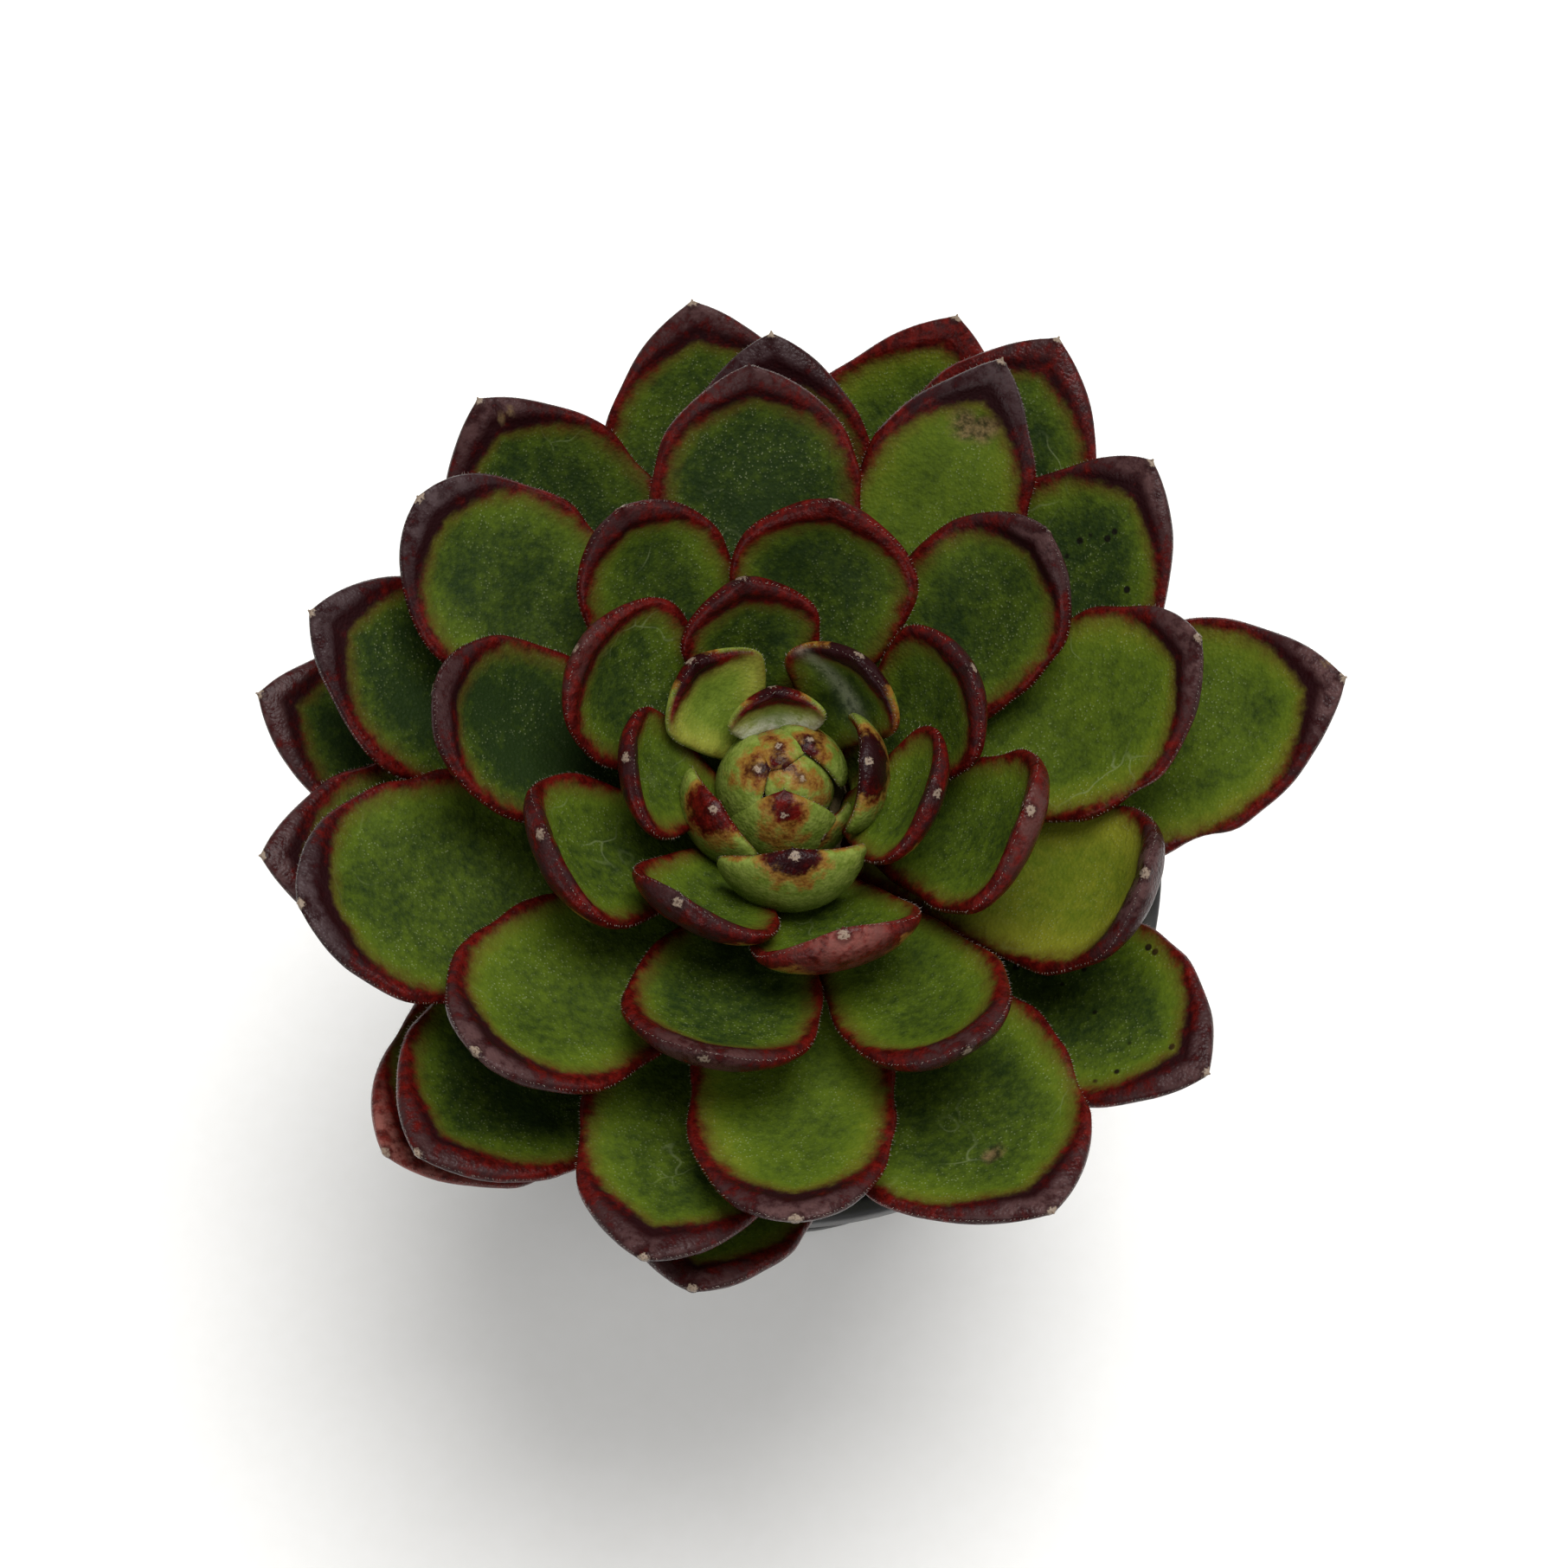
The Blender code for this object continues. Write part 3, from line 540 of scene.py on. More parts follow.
def fringe(grown):
    """Short stiff hairs along the leaf's margin, each a small closed spike rooted in the skin."""
    points, faces = [], []
    centre = grown.points[grown.sides].mean(1)
    for side in (0, 1):
        edge = grown.points[grown.sides[:, side]]
        out = edge - centre
        out /= np.linalg.norm(out, axis=1)[:, None] + 1e-9
        ahead = np.gradient(edge, axis=0)
        ahead /= np.linalg.norm(ahead, axis=1)[:, None] + 1e-9
        travelled = np.concatenate([[0], np.cumsum(np.linalg.norm(np.diff(edge, axis=0), axis=1))])
        spots = np.arange(HAIR_FROM * travelled[-1], travelled[-1], HAIR_SPACING)
        for spot in spots + CHANCE.uniform(-0.2, 0.2, len(spots)):
            root = np.array([np.interp(spot, travelled, edge[:, k]) for k in range(3)])
            o = np.array([np.interp(spot, travelled, out[:, k]) for k in range(3)])
            a = np.array([np.interp(spot, travelled, ahead[:, k]) for k in range(3)])
            grow_to = o + HAIR_LEAN * a + CHANCE.normal(0, 0.35, 3)
            grow_to *= HAIR_LENGTH * CHANCE.uniform(0.5, 1.3) / np.linalg.norm(grow_to)
            u = np.cross(grow_to, (0.3, 0.5, 0.8))
            u *= HAIR_RADIUS / np.linalg.norm(u)
            v = np.cross(grow_to, u)
            v *= HAIR_RADIUS / np.linalg.norm(v)
            base = root - 0.06 * o
            n = len(points)
            points += [base + u, base - 0.5 * u + 0.87 * v, base - 0.5 * u - 0.87 * v,
                       root + grow_to]
            faces += [[n, n + 2, n + 1], [n, n + 1, n + 3], [n + 1, n + 2, n + 3],
                      [n + 2, n, n + 3]]
    return np.array(points).reshape(-1, 3), faces


def object_from(name, points, faces, materials, replaced):
    """A smooth mesh object in its place, riding on the plant."""
    mesh = bpy.data.meshes.new(name)
    mesh.from_pydata([tuple(p) for p in np.asarray(points) * MM], [], faces)
    mesh.validate()
    mesh.shade_smooth()
    for material in materials:
        mesh.materials.append(material)
    obj = bpy.data.objects.new(name, mesh)
    bpy.context.scene.collection.objects.link(obj)
    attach(obj, "root")
    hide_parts(replaced)
    return obj


def mark(mesh, name, values):
    """Writes one value, or one vector, for each point of a mesh, for its material to read."""
    values = np.asarray(values, np.float32)
    kind = "FLOAT" if values.ndim == 1 else "FLOAT_VECTOR"
    layer = mesh.attributes.new(name, kind, "POINT")
    layer.data.foreach_set("value" if values.ndim == 1 else "vector", values.ravel())


YOUNG_UNTIL = 9  # the age from which a leaf has the darker skin


def add_leaf(age, skins, hair):
    grown = grow(age)
    hairs, hair_faces = fringe(grown)
    n = len(grown.points)
    points = np.concatenate([grown.points, hairs])
    faces = grown.faces + [[i + n for i in face] for face in hair_faces]
    young = age < YOUNG_UNTIL
    obj = object_from(f"succulent_{leaf_name(age)}", points, faces,
                      [skins[0] if young else skins[1], hair],
                      leaf_name(age))
    for name, values in grown.marks.items():
        mark(obj.data, name, np.concatenate([values, np.zeros(len(hairs))]))
    kinds = np.zeros(len(obj.data.polygons), np.int32)
    kinds[len(grown.faces):] = 1
    obj.data.polygons.foreach_set("material_index", kinds)
    return obj


# ---- materials

def linear(hex_colour):
    """An sRGB hex colour as the linear colour, with alpha, that a shader takes."""
    values = [int(hex_colour[i:i + 2], 16) / 255 for i in (1, 3, 5)]
    return tuple(v / 12.92 if v <= 0.04045 else ((v + 0.055) / 1.055)**2.4 for v in values) + (1,)


def node(tree, kind, inputs=None, out=0, **settings):
    """Adds a node with its settings, and its inputs' values or links. Gives back one output."""
    made = tree.nodes.new("ShaderNode" + kind)
    for name, value in settings.items():
        setattr(made, name, value)
    for socket, value in (inputs or {}).items():
        if isinstance(value, bpy.types.NodeSocket):
            tree.links.new(value, made.inputs[socket])
        else:
            made.inputs[socket].default_value = value
    return made.outputs[out]


def new_material(name, **constants):
    """An empty Principled material with the values that are the same all over its surface."""
    material = bpy.data.materials.new(name)
    material.use_nodes = True
    shader = material.node_tree.nodes["Principled BSDF"]
    for socket, value in constants.items():
        shader.inputs[socket.replace("_", " ")].default_value = value
    return material, material.node_tree, shader


# what grow() writes at each point of a leaf: the distance in from the ridge in mm, 0 above to 1
# below, how light it is, how far in the red reaches above and below, wax bloom with painted sheen,
# wine, the tint of that bloom and sheen, dark specks, the distance to the callus, wool and scars
MARKS = ("edge", "under", "pale", "margin", "belly", "bloom_and_sheen_mask", "wine", "rosy", "specks", "callus",
         "wool", "cork")

# settings that many of the nodes share
SOFT = {"interpolation_type": "SMOOTHSTEP"}
TIMES = {"operation": "MULTIPLY"}
BLEND = {"out": 2, "data_type": "RGBA"}


def leaf_skin(name, greens, unders):
    """Living leaf: thin waxed skin over green flesh, with a felt of very short hairs.

    The wax makes a soft sheen, partly painted into the colour as a grey to rosy bloom, the hairs
    pale specks, and strong sun the red of the margin.
    """
    material, tree, shader = new_material(
        name, IOR=1.4, Specular_IOR_Level=0.13, Subsurface_Weight=0.04,
        Subsurface_Scale=0.001, Subsurface_Radius=(0.9, 1.0, 0.3))
    where = node(tree, "TexCoord", out=3)
    edge, under, pale, margin, belly, bloom_and_sheen_mask, wine, rosy, specks, callus, wool, cork = (
        node(tree, "Attribute", out=2, attribute_name=name) for name in MARKS)

    # cells about 1 mm across, blotches of 5 to 10 mm, the ragged edge of the red, short hairs
    mottle = node(tree, "TexNoise", {"Vector": where, "Scale": 900.0, "Detail": 4.0,
                                     "Roughness": 0.7})
    blotch = node(tree, "TexNoise", {"Vector": where, "Scale": 170.0, "Detail": 3.0,
                                     "Roughness": 0.6})
    ragged = node(tree, "TexNoise", {"Vector": where, "Scale": 520.0, "Detail": 4.0,
                                     "Roughness": 0.65})
    ragged_way = node(tree, "TexNoise", {"Vector": where, "Scale": 60.0, "Detail": 3.0}, out=1)
    hair = node(tree, "TexVoronoi", {"Vector": where, "Scale": 2300.0})

    # the upper face: dark in the middle and at the base, lighter and yellower to the margin
    tone = node(tree, "Math", {0: blotch, 1: 0.5, 2: pale}, operation="MULTIPLY_ADD")
    tone = node(tree, "Math", {0: mottle, 1: 0.7, 2: tone}, operation="MULTIPLY_ADD")
    share = node(tree, "MapRange", {0: tone, 1: 0.62, 2: 1.2}, **SOFT)
    face = node(tree, "Mix", {0: share, 6: linear(greens[0]), 7: linear(greens[1])}, **BLEND)
    share = node(tree, "MapRange", {0: tone, 1: 1.05, 2: 1.8}, **SOFT)
    face = node(tree, "Mix", {0: share, 6: face, 7: linear(greens[2])}, **BLEND)
    thick = node(tree, "MapRange", {0: blotch, 1: 0.4, 2: 0.62, 3: 0.04, 4: 0.34}, **SOFT)
    share = node(tree, "MapRange", {0: hair, 1: 0.3, 2: 0.1}, **SOFT)
    share = node(tree, "Math", {0: share, 1: thick}, **TIMES)
    face = node(tree, "Mix", {0: share, 6: face, 7: linear("#8f9770")}, **BLEND)
    bent = node(tree, "VectorMath", {0: ragged_way, 1: (0.02, 0.02, 0.02), 2: where},
                operation="MULTIPLY_ADD")
    scratch = node(tree, "TexVoronoi", {"Vector": bent, "Scale": 95.0},
                   feature="DISTANCE_TO_EDGE")
    share = node(tree, "MapRange", {0: scratch, 1: 0.02, 2: 0.004}, **SOFT)
    seldom = node(tree, "MapRange", {0: ragged_way, 1: 0.56, 2: 0.66, 4: 0.35}, **SOFT)
    share = node(tree, "Math", {0: share, 1: seldom}, **TIMES)
    face = node(tree, "Mix", {0: share, 6: face, 7: linear("#77805a")}, **BLEND)
    spot = node(tree, "TexVoronoi", {"Vector": where, "Scale": 360.0})
    share = node(tree, "MapRange", {0: spot, 1: 0.2, 2: 0.12}, **SOFT)
    share = node(tree, "Math", {0: share, 1: specks}, **TIMES)
    face = node(tree, "Mix", {0: share, 6: face, 7: linear("#0e0d05")}, **BLEND)

    # the red of the margin, crimson at the sides and dark wine at the tip
    share = node(tree, "MapRange", {0: mottle, 1: 0.35, 2: 0.68}, **SOFT)
    red = node(tree, "Mix", {0: share, 6: linear("#2f0504"), 7: linear("#560e09")}, **BLEND)
    share = node(tree, "Math", {0: ragged, 1: 1.7, 2: -0.85}, operation="MULTIPLY_ADD")
    share = node(tree, "Math", {0: share, 1: wine})
    share = node(tree, "MapRange", {0: share, 1: 0.12, 2: 0.7}, **SOFT)
    red = node(tree, "Mix", {0: share, 6: red, 7: linear("#1d0507")}, **BLEND)

    # the margin has an olive to brown edge on the upper face
    border = node(tree, "Math", {0: ragged, 1: 2.6, 2: margin}, operation="MULTIPLY_ADD")
    share = node(tree, "MapRange", {0: border, 1: 3.9, 2: 1.3, 4: 0.8}, **SOFT)
    face = node(tree, "Mix", {0: share, 6: face, 7: linear("#45340e")}, **BLEND)
    share = node(tree, "MapRange", {0: border, 1: 2.3, 2: 0.9}, **SOFT)
    face = node(tree, "Mix", {0: share, 6: face, 7: red}, **BLEND)

    # the outer face: green, yellow and orange where the red begins, red below the tip
    share = node(tree, "MapRange", {0: mottle, 1: 0.3, 2: 0.7}, **SOFT)
    outer = node(tree, "Mix", {0: share, 6: linear(unders[0]), 7: linear(unders[1])}, **BLEND)
    border = node(tree, "Math", {0: ragged, 1: 6.0, 2: belly}, operation="MULTIPLY_ADD")
    share = node(tree, "MapRange", {0: border, 1: 5.0, 2: 3.6, 4: 0.65}, **SOFT)
    outer = node(tree, "Mix", {0: share, 6: outer, 7: linear("#83401a")}, **BLEND)
    share = node(tree, "MapRange", {0: border, 1: 4.0, 2: 2.5}, **SOFT)
    outer = node(tree, "Mix", {0: share, 6: outer, 7: red}, **BLEND)
    skin = node(tree, "Mix", {0: under, 6: face, 7: outer}, **BLEND)

    # wax bloom on the rolled margin and below the tip, rubbed off in places; its grey-violet to
    # rosy colour is also a painted sheen there
    rubbed = node(tree, "MapRange", {0: ragged, 1: 0.36, 2: 0.62, 3: 0.1, 4: 0.85}, **SOFT)
    share = node(tree, "Math", {0: bloom_and_sheen_mask, 1: rubbed}, **TIMES)
    tint = node(tree, "Mix", {0: rosy, 6: linear("#463839"), 7: linear("#8a564e")}, **BLEND)
    skin = node(tree, "Mix", {0: share, 6: skin, 7: tint}, **BLEND)

    # the dry point at the tip, crusted 0.4 mm coarse, with a dark line round it
    share = node(tree, "MapRange", {0: callus, 1: 1.9, 2: 1.1, 4: 0.5}, **SOFT)
    skin = node(tree, "Mix", {0: share, 6: skin, 7: linear("#1c0a09")}, **BLEND)
    crust = node(tree, "TexNoise", {"Vector": where, "Scale": 2600.0, "Detail": 3.0,
                                    "Roughness": 0.7})
    around = node(tree, "Math", {0: crust, 1: 2.4, 2: callus}, operation="MULTIPLY_ADD")
    share = node(tree, "MapRange", {0: around, 1: 2.2, 2: 1.75, 4: 0.8}, **SOFT)
    skin = node(tree, "Mix", {0: share, 6: skin, 7: linear("#8a7a6a")}, **BLEND)
    share = node(tree, "MapRange", {0: around, 1: 1.5, 2: 1.25, 4: 0.75}, **SOFT)
    skin = node(tree, "Mix", {0: share, 6: skin, 7: linear("#3d2a20")}, **BLEND)

    # wool on the young leaves, and corky scars
    fuzz = node(tree, "MapRange", {0: mottle, 1: 0.3, 2: 0.6, 3: 0.3, 4: 1.1}, **SOFT)
    share = node(tree, "Math", {0: wool, 1: fuzz}, **TIMES)
    skin = node(tree, "Mix", {0: share, 6: skin, 7: linear("#9fa08a")}, **BLEND)
    share = node(tree, "MapRange", {0: mottle, 1: 0.35, 2: 0.65}, **SOFT)
    cork_colour_and_crumb_shade = node(tree, "Mix", {0: share, 6: linear("#2a1d13"), 7: linear("#69543a")}, **BLEND)
    share = node(tree, "Math", {0: cork, 1: 0.85}, **TIMES)
    skin = node(tree, "Mix", {0: share, 6: skin, 7: cork_colour_and_crumb_shade}, **BLEND)
    tree.links.new(skin, shader.inputs["Base Color"])

    # the waxed margin and the outer face are smoother than the hairy upper face
    gloss = node(tree, "MapRange", {0: edge, 1: 1.2, 2: -0.4, 3: 0.06, 4: 0.28}, **SOFT)
    outer_gloss = node(tree, "MapRange", {0: under, 3: 0.0, 4: 0.26})
    gloss = node(tree, "Math", {0: gloss, 1: outer_gloss}, operation="MAXIMUM")
    rough = node(tree, "MapRange", {0: gloss, 1: 0.06, 2: 0.28, 3: 0.62, 4: 0.26})
    uneven = node(tree, "MapRange", {0: ragged, 1: 0.3, 2: 0.7, 3: -0.08, 4: 0.1})
    rough = node(tree, "Math", {0: rough, 1: uneven})
    tree.links.new(rough, shader.inputs["Roughness"])

    relief = node(tree, "Math", {0: hair, 1: -0.5, 2: mottle}, operation="MULTIPLY_ADD")
    bump = node(tree, "Bump", {"Strength": 0.7, "Distance": 0.00016, "Height": relief})
    tree.links.new(bump, shader.inputs["Normal"])
    return material


def hair_fibre():
    """The leaf's own hairs: dry, hollow and whitish, so each one scatters light."""
    material, tree, shader = new_material("succulent_leaf_hair", IOR=1.53, Roughness=0.6,
                                          Sheen_Weight=0.2)
    where = node(tree, "TexCoord", out=3)
    tint = node(tree, "TexNoise", {"Vector": where, "Scale": 700.0, "Detail": 1.0})
    colour = node(tree, "Mix", {0: tint, 6: linear("#6e5a50"), 7: linear("#b5ab9b")},
                  **BLEND)
    tree.links.new(colour, shader.inputs["Base Color"])
    return material


def earth():
    """Potting compost: dark fibrous peat in damp patches, lighter on the crumbs' tops and darker
    in the hollows as painted shade.
    """
    material, tree, shader = new_material("peat_potting_compost", IOR=1.4)
    where = node(tree, "TexCoord", out=3)
    # fibres and crumbs about 1.5 mm across, and damp patches of about 17 mm
    crumb = node(tree, "TexNoise", {"Vector": where, "Scale": 700.0, "Detail": 6.0,
                                    "Roughness": 0.7})
    damp = node(tree, "TexNoise", {"Vector": where, "Scale": 60.0, "Detail": 3.0})
    # painted shade: the colour follows the crumbs' relief, lighter on their tops and darker in the
    # hollows
    cork_colour_and_crumb_shade = node(tree, "MapRange", {0: crumb, 1: 0.35, 2: 0.75}, **SOFT)
    colour = node(tree, "Mix", {0: cork_colour_and_crumb_shade, 6: linear("#15100b"), 7: linear("#3c2c1f")},
                  **BLEND)
    colour = node(tree, "Mix", {0: node(tree, "MapRange", {0: damp, 1: 0.35, 2: 0.7, 4: 0.6}),
                                6: colour, 7: linear("#0c0906")}, **BLEND)
    tree.links.new(colour, shader.inputs["Base Color"])
    rough = node(tree, "MapRange", {0: damp, 1: 0.3, 2: 0.7, 3: 0.95, 4: 0.6})
    tree.links.new(rough, shader.inputs["Roughness"])
    bump = node(tree, "Bump", {"Strength": 0.9, "Distance": 0.0006, "Height": crumb})
    tree.links.new(bump, shader.inputs["Normal"])
    return material


def grit(name, shade, light, pores):
    """Mineral grains in the compost: expanded perlite, or pumice, pitted with tiny pores."""
    material, tree, shader = new_material(name, IOR=1.5, Roughness=0.85)
    where = node(tree, "TexCoord", out=3)
    # shades about 1 mm across, and pores a little smaller
    grain = node(tree, "TexNoise", {"Vector": where, "Scale": 900.0, "Detail": 4.0})
    colour = node(tree, "Mix", {0: grain, 6: linear(shade), 7: linear(light)},
                  **BLEND)
    hole = node(tree, "TexVoronoi", {"Vector": where, "Scale": pores})
    pit = node(tree, "MapRange", {0: hole, 1: 0.1, 2: 0.3})
    # the pores take the darker colour: painted shade in the pits
    colour = node(tree, "Mix", {0: pit, 6: linear(shade), 7: colour}, **BLEND)
    tree.links.new(colour, shader.inputs["Base Color"])
    bump = node(tree, "Bump", {"Strength": 0.8, "Distance": 0.0002, "Height": pit})
    tree.links.new(bump, shader.inputs["Normal"])
    return material


def bark():
    """The stem: green-brown skin gone corky, paler on the scars that lost leaves left."""
    material, tree, shader = new_material("succulent_stem_cork", IOR=1.45)
    where = node(tree, "TexCoord", out=3)
    # corky ridges about 1 mm wide and three times as long
    stretched = node(tree, "VectorMath", {0: where, 1: (1.0, 1.0, 0.35)}, operation="MULTIPLY")
    grain = node(tree, "TexNoise", {"Vector": stretched, "Scale": 900.0, "Detail": 5.0})
    colour = node(tree, "Mix", {0: grain, 6: linear("#33301a"), 7: linear("#8a7550")},
                  **BLEND)
    scar = node(tree, "Attribute", out=2, attribute_name="scar")
    colour = node(tree, "Mix", {0: scar, 6: colour, 7: linear("#a58f6c")},
                  **BLEND)
    tree.links.new(colour, shader.inputs["Base Color"])
    rough = node(tree, "MapRange", {0: grain, 1: 0.3, 2: 0.7, 3: 0.6, 4: 0.85})
    tree.links.new(rough, shader.inputs["Roughness"])
    bump = node(tree, "Bump", {"Strength": 0.8, "Distance": 0.0003, "Height": grain})
    tree.links.new(bump, shader.inputs["Normal"])
    return material


def pot_plastic():
    """Injection-moulded polypropylene: fine spark-eroded texture, scuffs, and dried splashes.

    The texture breaks the gloss, soil dust greys the collar, and lime marks show inside.
    """
    material, tree, shader = new_material("moulded_polypropylene", IOR=1.49)
    where = node(tree, "TexCoord", out=3)
    # a texture drawn 0.5 mm coarse so that it shows, scuffs of about 20 mm, and flow lines 4 mm
    # apart round the pot
    grain = node(tree, "TexNoise", {"Vector": where, "Scale": 2200.0, "Detail": 2.0})
    wear = node(tree, "TexNoise", {"Vector": where, "Scale": 45.0, "Detail": 6.0,
                                   "Roughness": 0.65})
    turned = node(tree, "VectorMath", {0: where, 1: (8.0, 8.0, 260.0)}, operation="MULTIPLY")
    flow = node(tree, "TexNoise", {"Vector": turned, "Scale": 1.0, "Detail": 2.0})
    height = node(tree, "SeparateXYZ", {0: where}, out=2)
    colour = node(tree, "Mix", {0: flow, 6: linear("#232324"), 7: linear("#2b2b2c")},
                  **BLEND)
    dust = node(tree, "MapRange", {0: wear, 1: 0.52, 2: 0.75, 3: 0.0, 4: 0.4})
    rim = node(tree, "MapRange", {0: height, 1: 0.060, 2: 0.079, 3: 0.35, 4: 1.0})
    dust = node(tree, "Math", {0: dust, 1: rim}, operation="MULTIPLY")
    colour = node(tree, "Mix", {0: dust, 6: colour, 7: linear("#6d6256")},
                  **BLEND)
    speck = node(tree, "TexVoronoi", {"Vector": where, "Scale": 240.0})
    splash = node(tree, "MapRange", {0: speck, 1: 0.1, 2: 0.06, 3: 0.0, 4: 0.35})
    splash = node(tree, "Math", {0: splash, 1: dust}, operation="MULTIPLY")
    colour = node(tree, "Mix", {0: splash, 6: colour, 7: linear("#a39a8c")},
                  **BLEND)
    tree.links.new(colour, shader.inputs["Base Color"])
    rough = node(tree, "MapRange", {0: wear, 1: 0.3, 2: 0.7, 3: 0.38, 4: 0.58})
    tree.links.new(rough, shader.inputs["Roughness"])
    bump = node(tree, "Bump", {"Strength": 0.35, "Distance": 0.0001, "Height": grain})
    tree.links.new(bump, shader.inputs["Normal"])
    return material


def painted_board():
    """The floor: a matt white painted board, rolled, with the faint orange peel of a roller."""
    material, tree, shader = new_material("white_painted_board", IOR=1.5, Roughness=0.75)
    where = node(tree, "TexCoord", out=3)
    # orange peel about 3 mm across
    peel = node(tree, "TexNoise", {"Vector": where, "Scale": 350.0, "Detail": 2.0})
    colour = node(tree, "Mix", {0: peel, 6: linear("#f0efec"), 7: linear("#f4f3f1")},
                  **BLEND)
    tree.links.new(colour, shader.inputs["Base Color"])
    bump = node(tree, "Bump", {"Strength": 0.05, "Distance": 0.0002, "Height": peel})
    tree.links.new(bump, shader.inputs["Normal"])
    return material


# ---- stem, soil and pot

STEM_MESH = (70, 96)
SOIL_MESH = (64, 200)
SCAR_SIZE = (2.4, 2.4, 1.1)  # mm, half of a leaf scar on the stem
STEM_WEAR = 0.35  # mm that the stem has shrunk between its scars
LOST_LEAVES = 8  # how many leaves below the oldest have left a scar


def add_stem(material):
    """The stem: a round column with a shallow scar where each leaf grows or grew."""
    rows, around = STEM_MESH
    rise = np.linspace(GAP, CROWN_TOP, rows)
    dome = np.linspace(0, math.pi / 2, 14)[1:-1]
    z = np.concatenate([rise, CROWN_TOP + CROWN_ROUND * np.sin(dome)])
    radius = np.concatenate([np.full(rows, STEM_D / 2), STEM_D / 2 * np.cos(dome)])
    turn = np.arange(around) * 2 * math.pi / around
    points = np.stack([np.outer(radius, np.cos(turn)), np.outer(radius, np.sin(turn)),
                       np.repeat(z[:, None], around, 1)], 2).reshape(-1, 3)
    scar = np.zeros(len(points))
    for age in range(FIRST_ON_SIDE, OLDEST + 1 + LOST_LEAVES):
        down = (age - FIRST_ON_SIDE) / (OLDEST - FIRST_ON_SIDE)
        at = math.radians(FIRST_TURN + DIVERGENCE * age)
        spot = np.array([math.cos(at) * STEM_D / 2, math.sin(at) * STEM_D / 2,
                         CROWN_TOP - down * (CROWN_TOP - LOWEST_FOOT)])
        off = (points - spot) / np.array(SCAR_SIZE)
        scar = np.maximum(scar, smooth(1.25 - np.linalg.norm(off, axis=1), 0, 0.35))
    rough = ripple(points, 1.4, 2.0) * 0.12 + ripple(points, 4.0, 9.0) * 0.15
    depth = STEM_WEAR * (1 - scar) - rough
    out = np.hypot(points[:, 0], points[:, 1])
    points[:, :2] *= ((out - np.maximum(depth, 0.02)) / np.maximum(out, 1e-6))[:, None]
    top = [[0, 0, CROWN_TOP + CROWN_ROUND - 0.1]]
    points = np.concatenate([points, top]) + np.array([0, 0, SOIL_LEVEL])
    stem = object_from("stem_of_succulent", points, rings_to_end(len(z), around), [material],
                       "stem")
    mark(stem.data, "scar", np.append(scar, 0))


def pot_inside(z):
    top = POT_TOP_D / 2 - POT_WALL
    low = POT_BASE_D / 2 - POT_WALL
    return low + (top - low) * (z - POT_FLOOR) / (POT_HEIGHT - POT_FLOOR)


def lump(radius, centre, seed, roughness=0.35):
    """One closed grain: a subdivided ball pushed about by noise, as points and faces."""
    ball = bmesh.new()
    bmesh.ops.create_icosphere(ball, subdivisions=2, radius=1.0)
    shape = np.array([v.co for v in ball.verts])
    faces = [[v.index for v in face.verts] for face in ball.faces]
    ball.free()
    shape *= 1 + roughness * ripple(shape, 0.8, seed)[:, None]
    shape *= CHANCE.uniform(0.65, 1.1, 3) * radius
    spin = np.array(Euler(CHANCE.uniform(0, 6.28, 3)).to_matrix())
    return shape @ spin + centre, faces


# Crumbs, perlite and pumice in the soil: the material, how many, and their least and most radius
GRAINS = ((0, 420, 0.5, 1.7), (1, 90, 0.35, 1.3), (2, 60, 0.5, 1.6))


def soil_height(x, y):
    """The soil's surface, slightly domed, and crumbled by noise of three sizes."""
    out = np.hypot(x, y) / pot_inside(SOIL_LEVEL)
    spots = np.stack([x, y, 0 * x], 1)
    crumble = (0.8 * ripple(spots, 7.0, 1.0) + 0.55 * ripple(spots, 2.6, 4.0)
               + 0.3 * ripple(spots, 1.1, 6.0))
    return SOIL_LEVEL - 0.9 - SOIL_CROWN * out**2 + crumble


def add_soil(compost, perlite, pumice):
    """The soil: one closed crumbled body, with crumbs and pale mineral grains half sunk in it."""
    rings, around = SOIL_MESH
    edge = pot_inside(SOIL_LEVEL - SOIL_CROWN) - GAP
    turn = np.arange(around) * 2 * math.pi / around
    out = edge * np.linspace(1, 0, rings + 1)[:-1]
    x, y = np.outer(out, np.cos(turn)).ravel(), np.outer(out, np.sin(turn)).ravel()
    top = np.stack([x, y, soil_height(x, y)], 1)
    low = POT_FLOOR + GAP
    foot = pot_inside(low) - GAP
    bottom = np.stack([foot * np.cos(turn), foot * np.sin(turn), np.full(around, low)], 1)
    centre = [[0, 0, float(soil_height(np.zeros(1), np.zeros(1))[0])]]
    points = np.concatenate([bottom, top, centre])
    faces = rings_to_end(rings + 1, around)
    kinds = [0] * len(faces)
    for kind, count, least, most in GRAINS:
        for i in range(count):
            radius = least + (most - least) * CHANCE.random()**2.5
            far = math.sqrt(CHANCE.uniform((STEM_D / 2 + 2)**2, (edge - radius)**2))
            at = CHANCE.uniform(0, 2 * math.pi)
            gx, gy = far * math.cos(at), far * math.sin(at)
            gz = float(soil_height(np.array([gx]), np.array([gy]))[0])
            grain, grain_faces = lump(radius, (gx, gy, gz + 0.25 * radius), i * 1.7 + kind)
            n = len(points)
            points = np.concatenate([points, grain])
            faces += [[v + n for v in face] for face in grain_faces]
            kinds += [kind] * len(grain_faces)
    soil = object_from("compost_in_pot", points, faces, [compost, perlite, pumice],
                       "soil")
    soil.data.polygons.foreach_set("material_index", kinds)


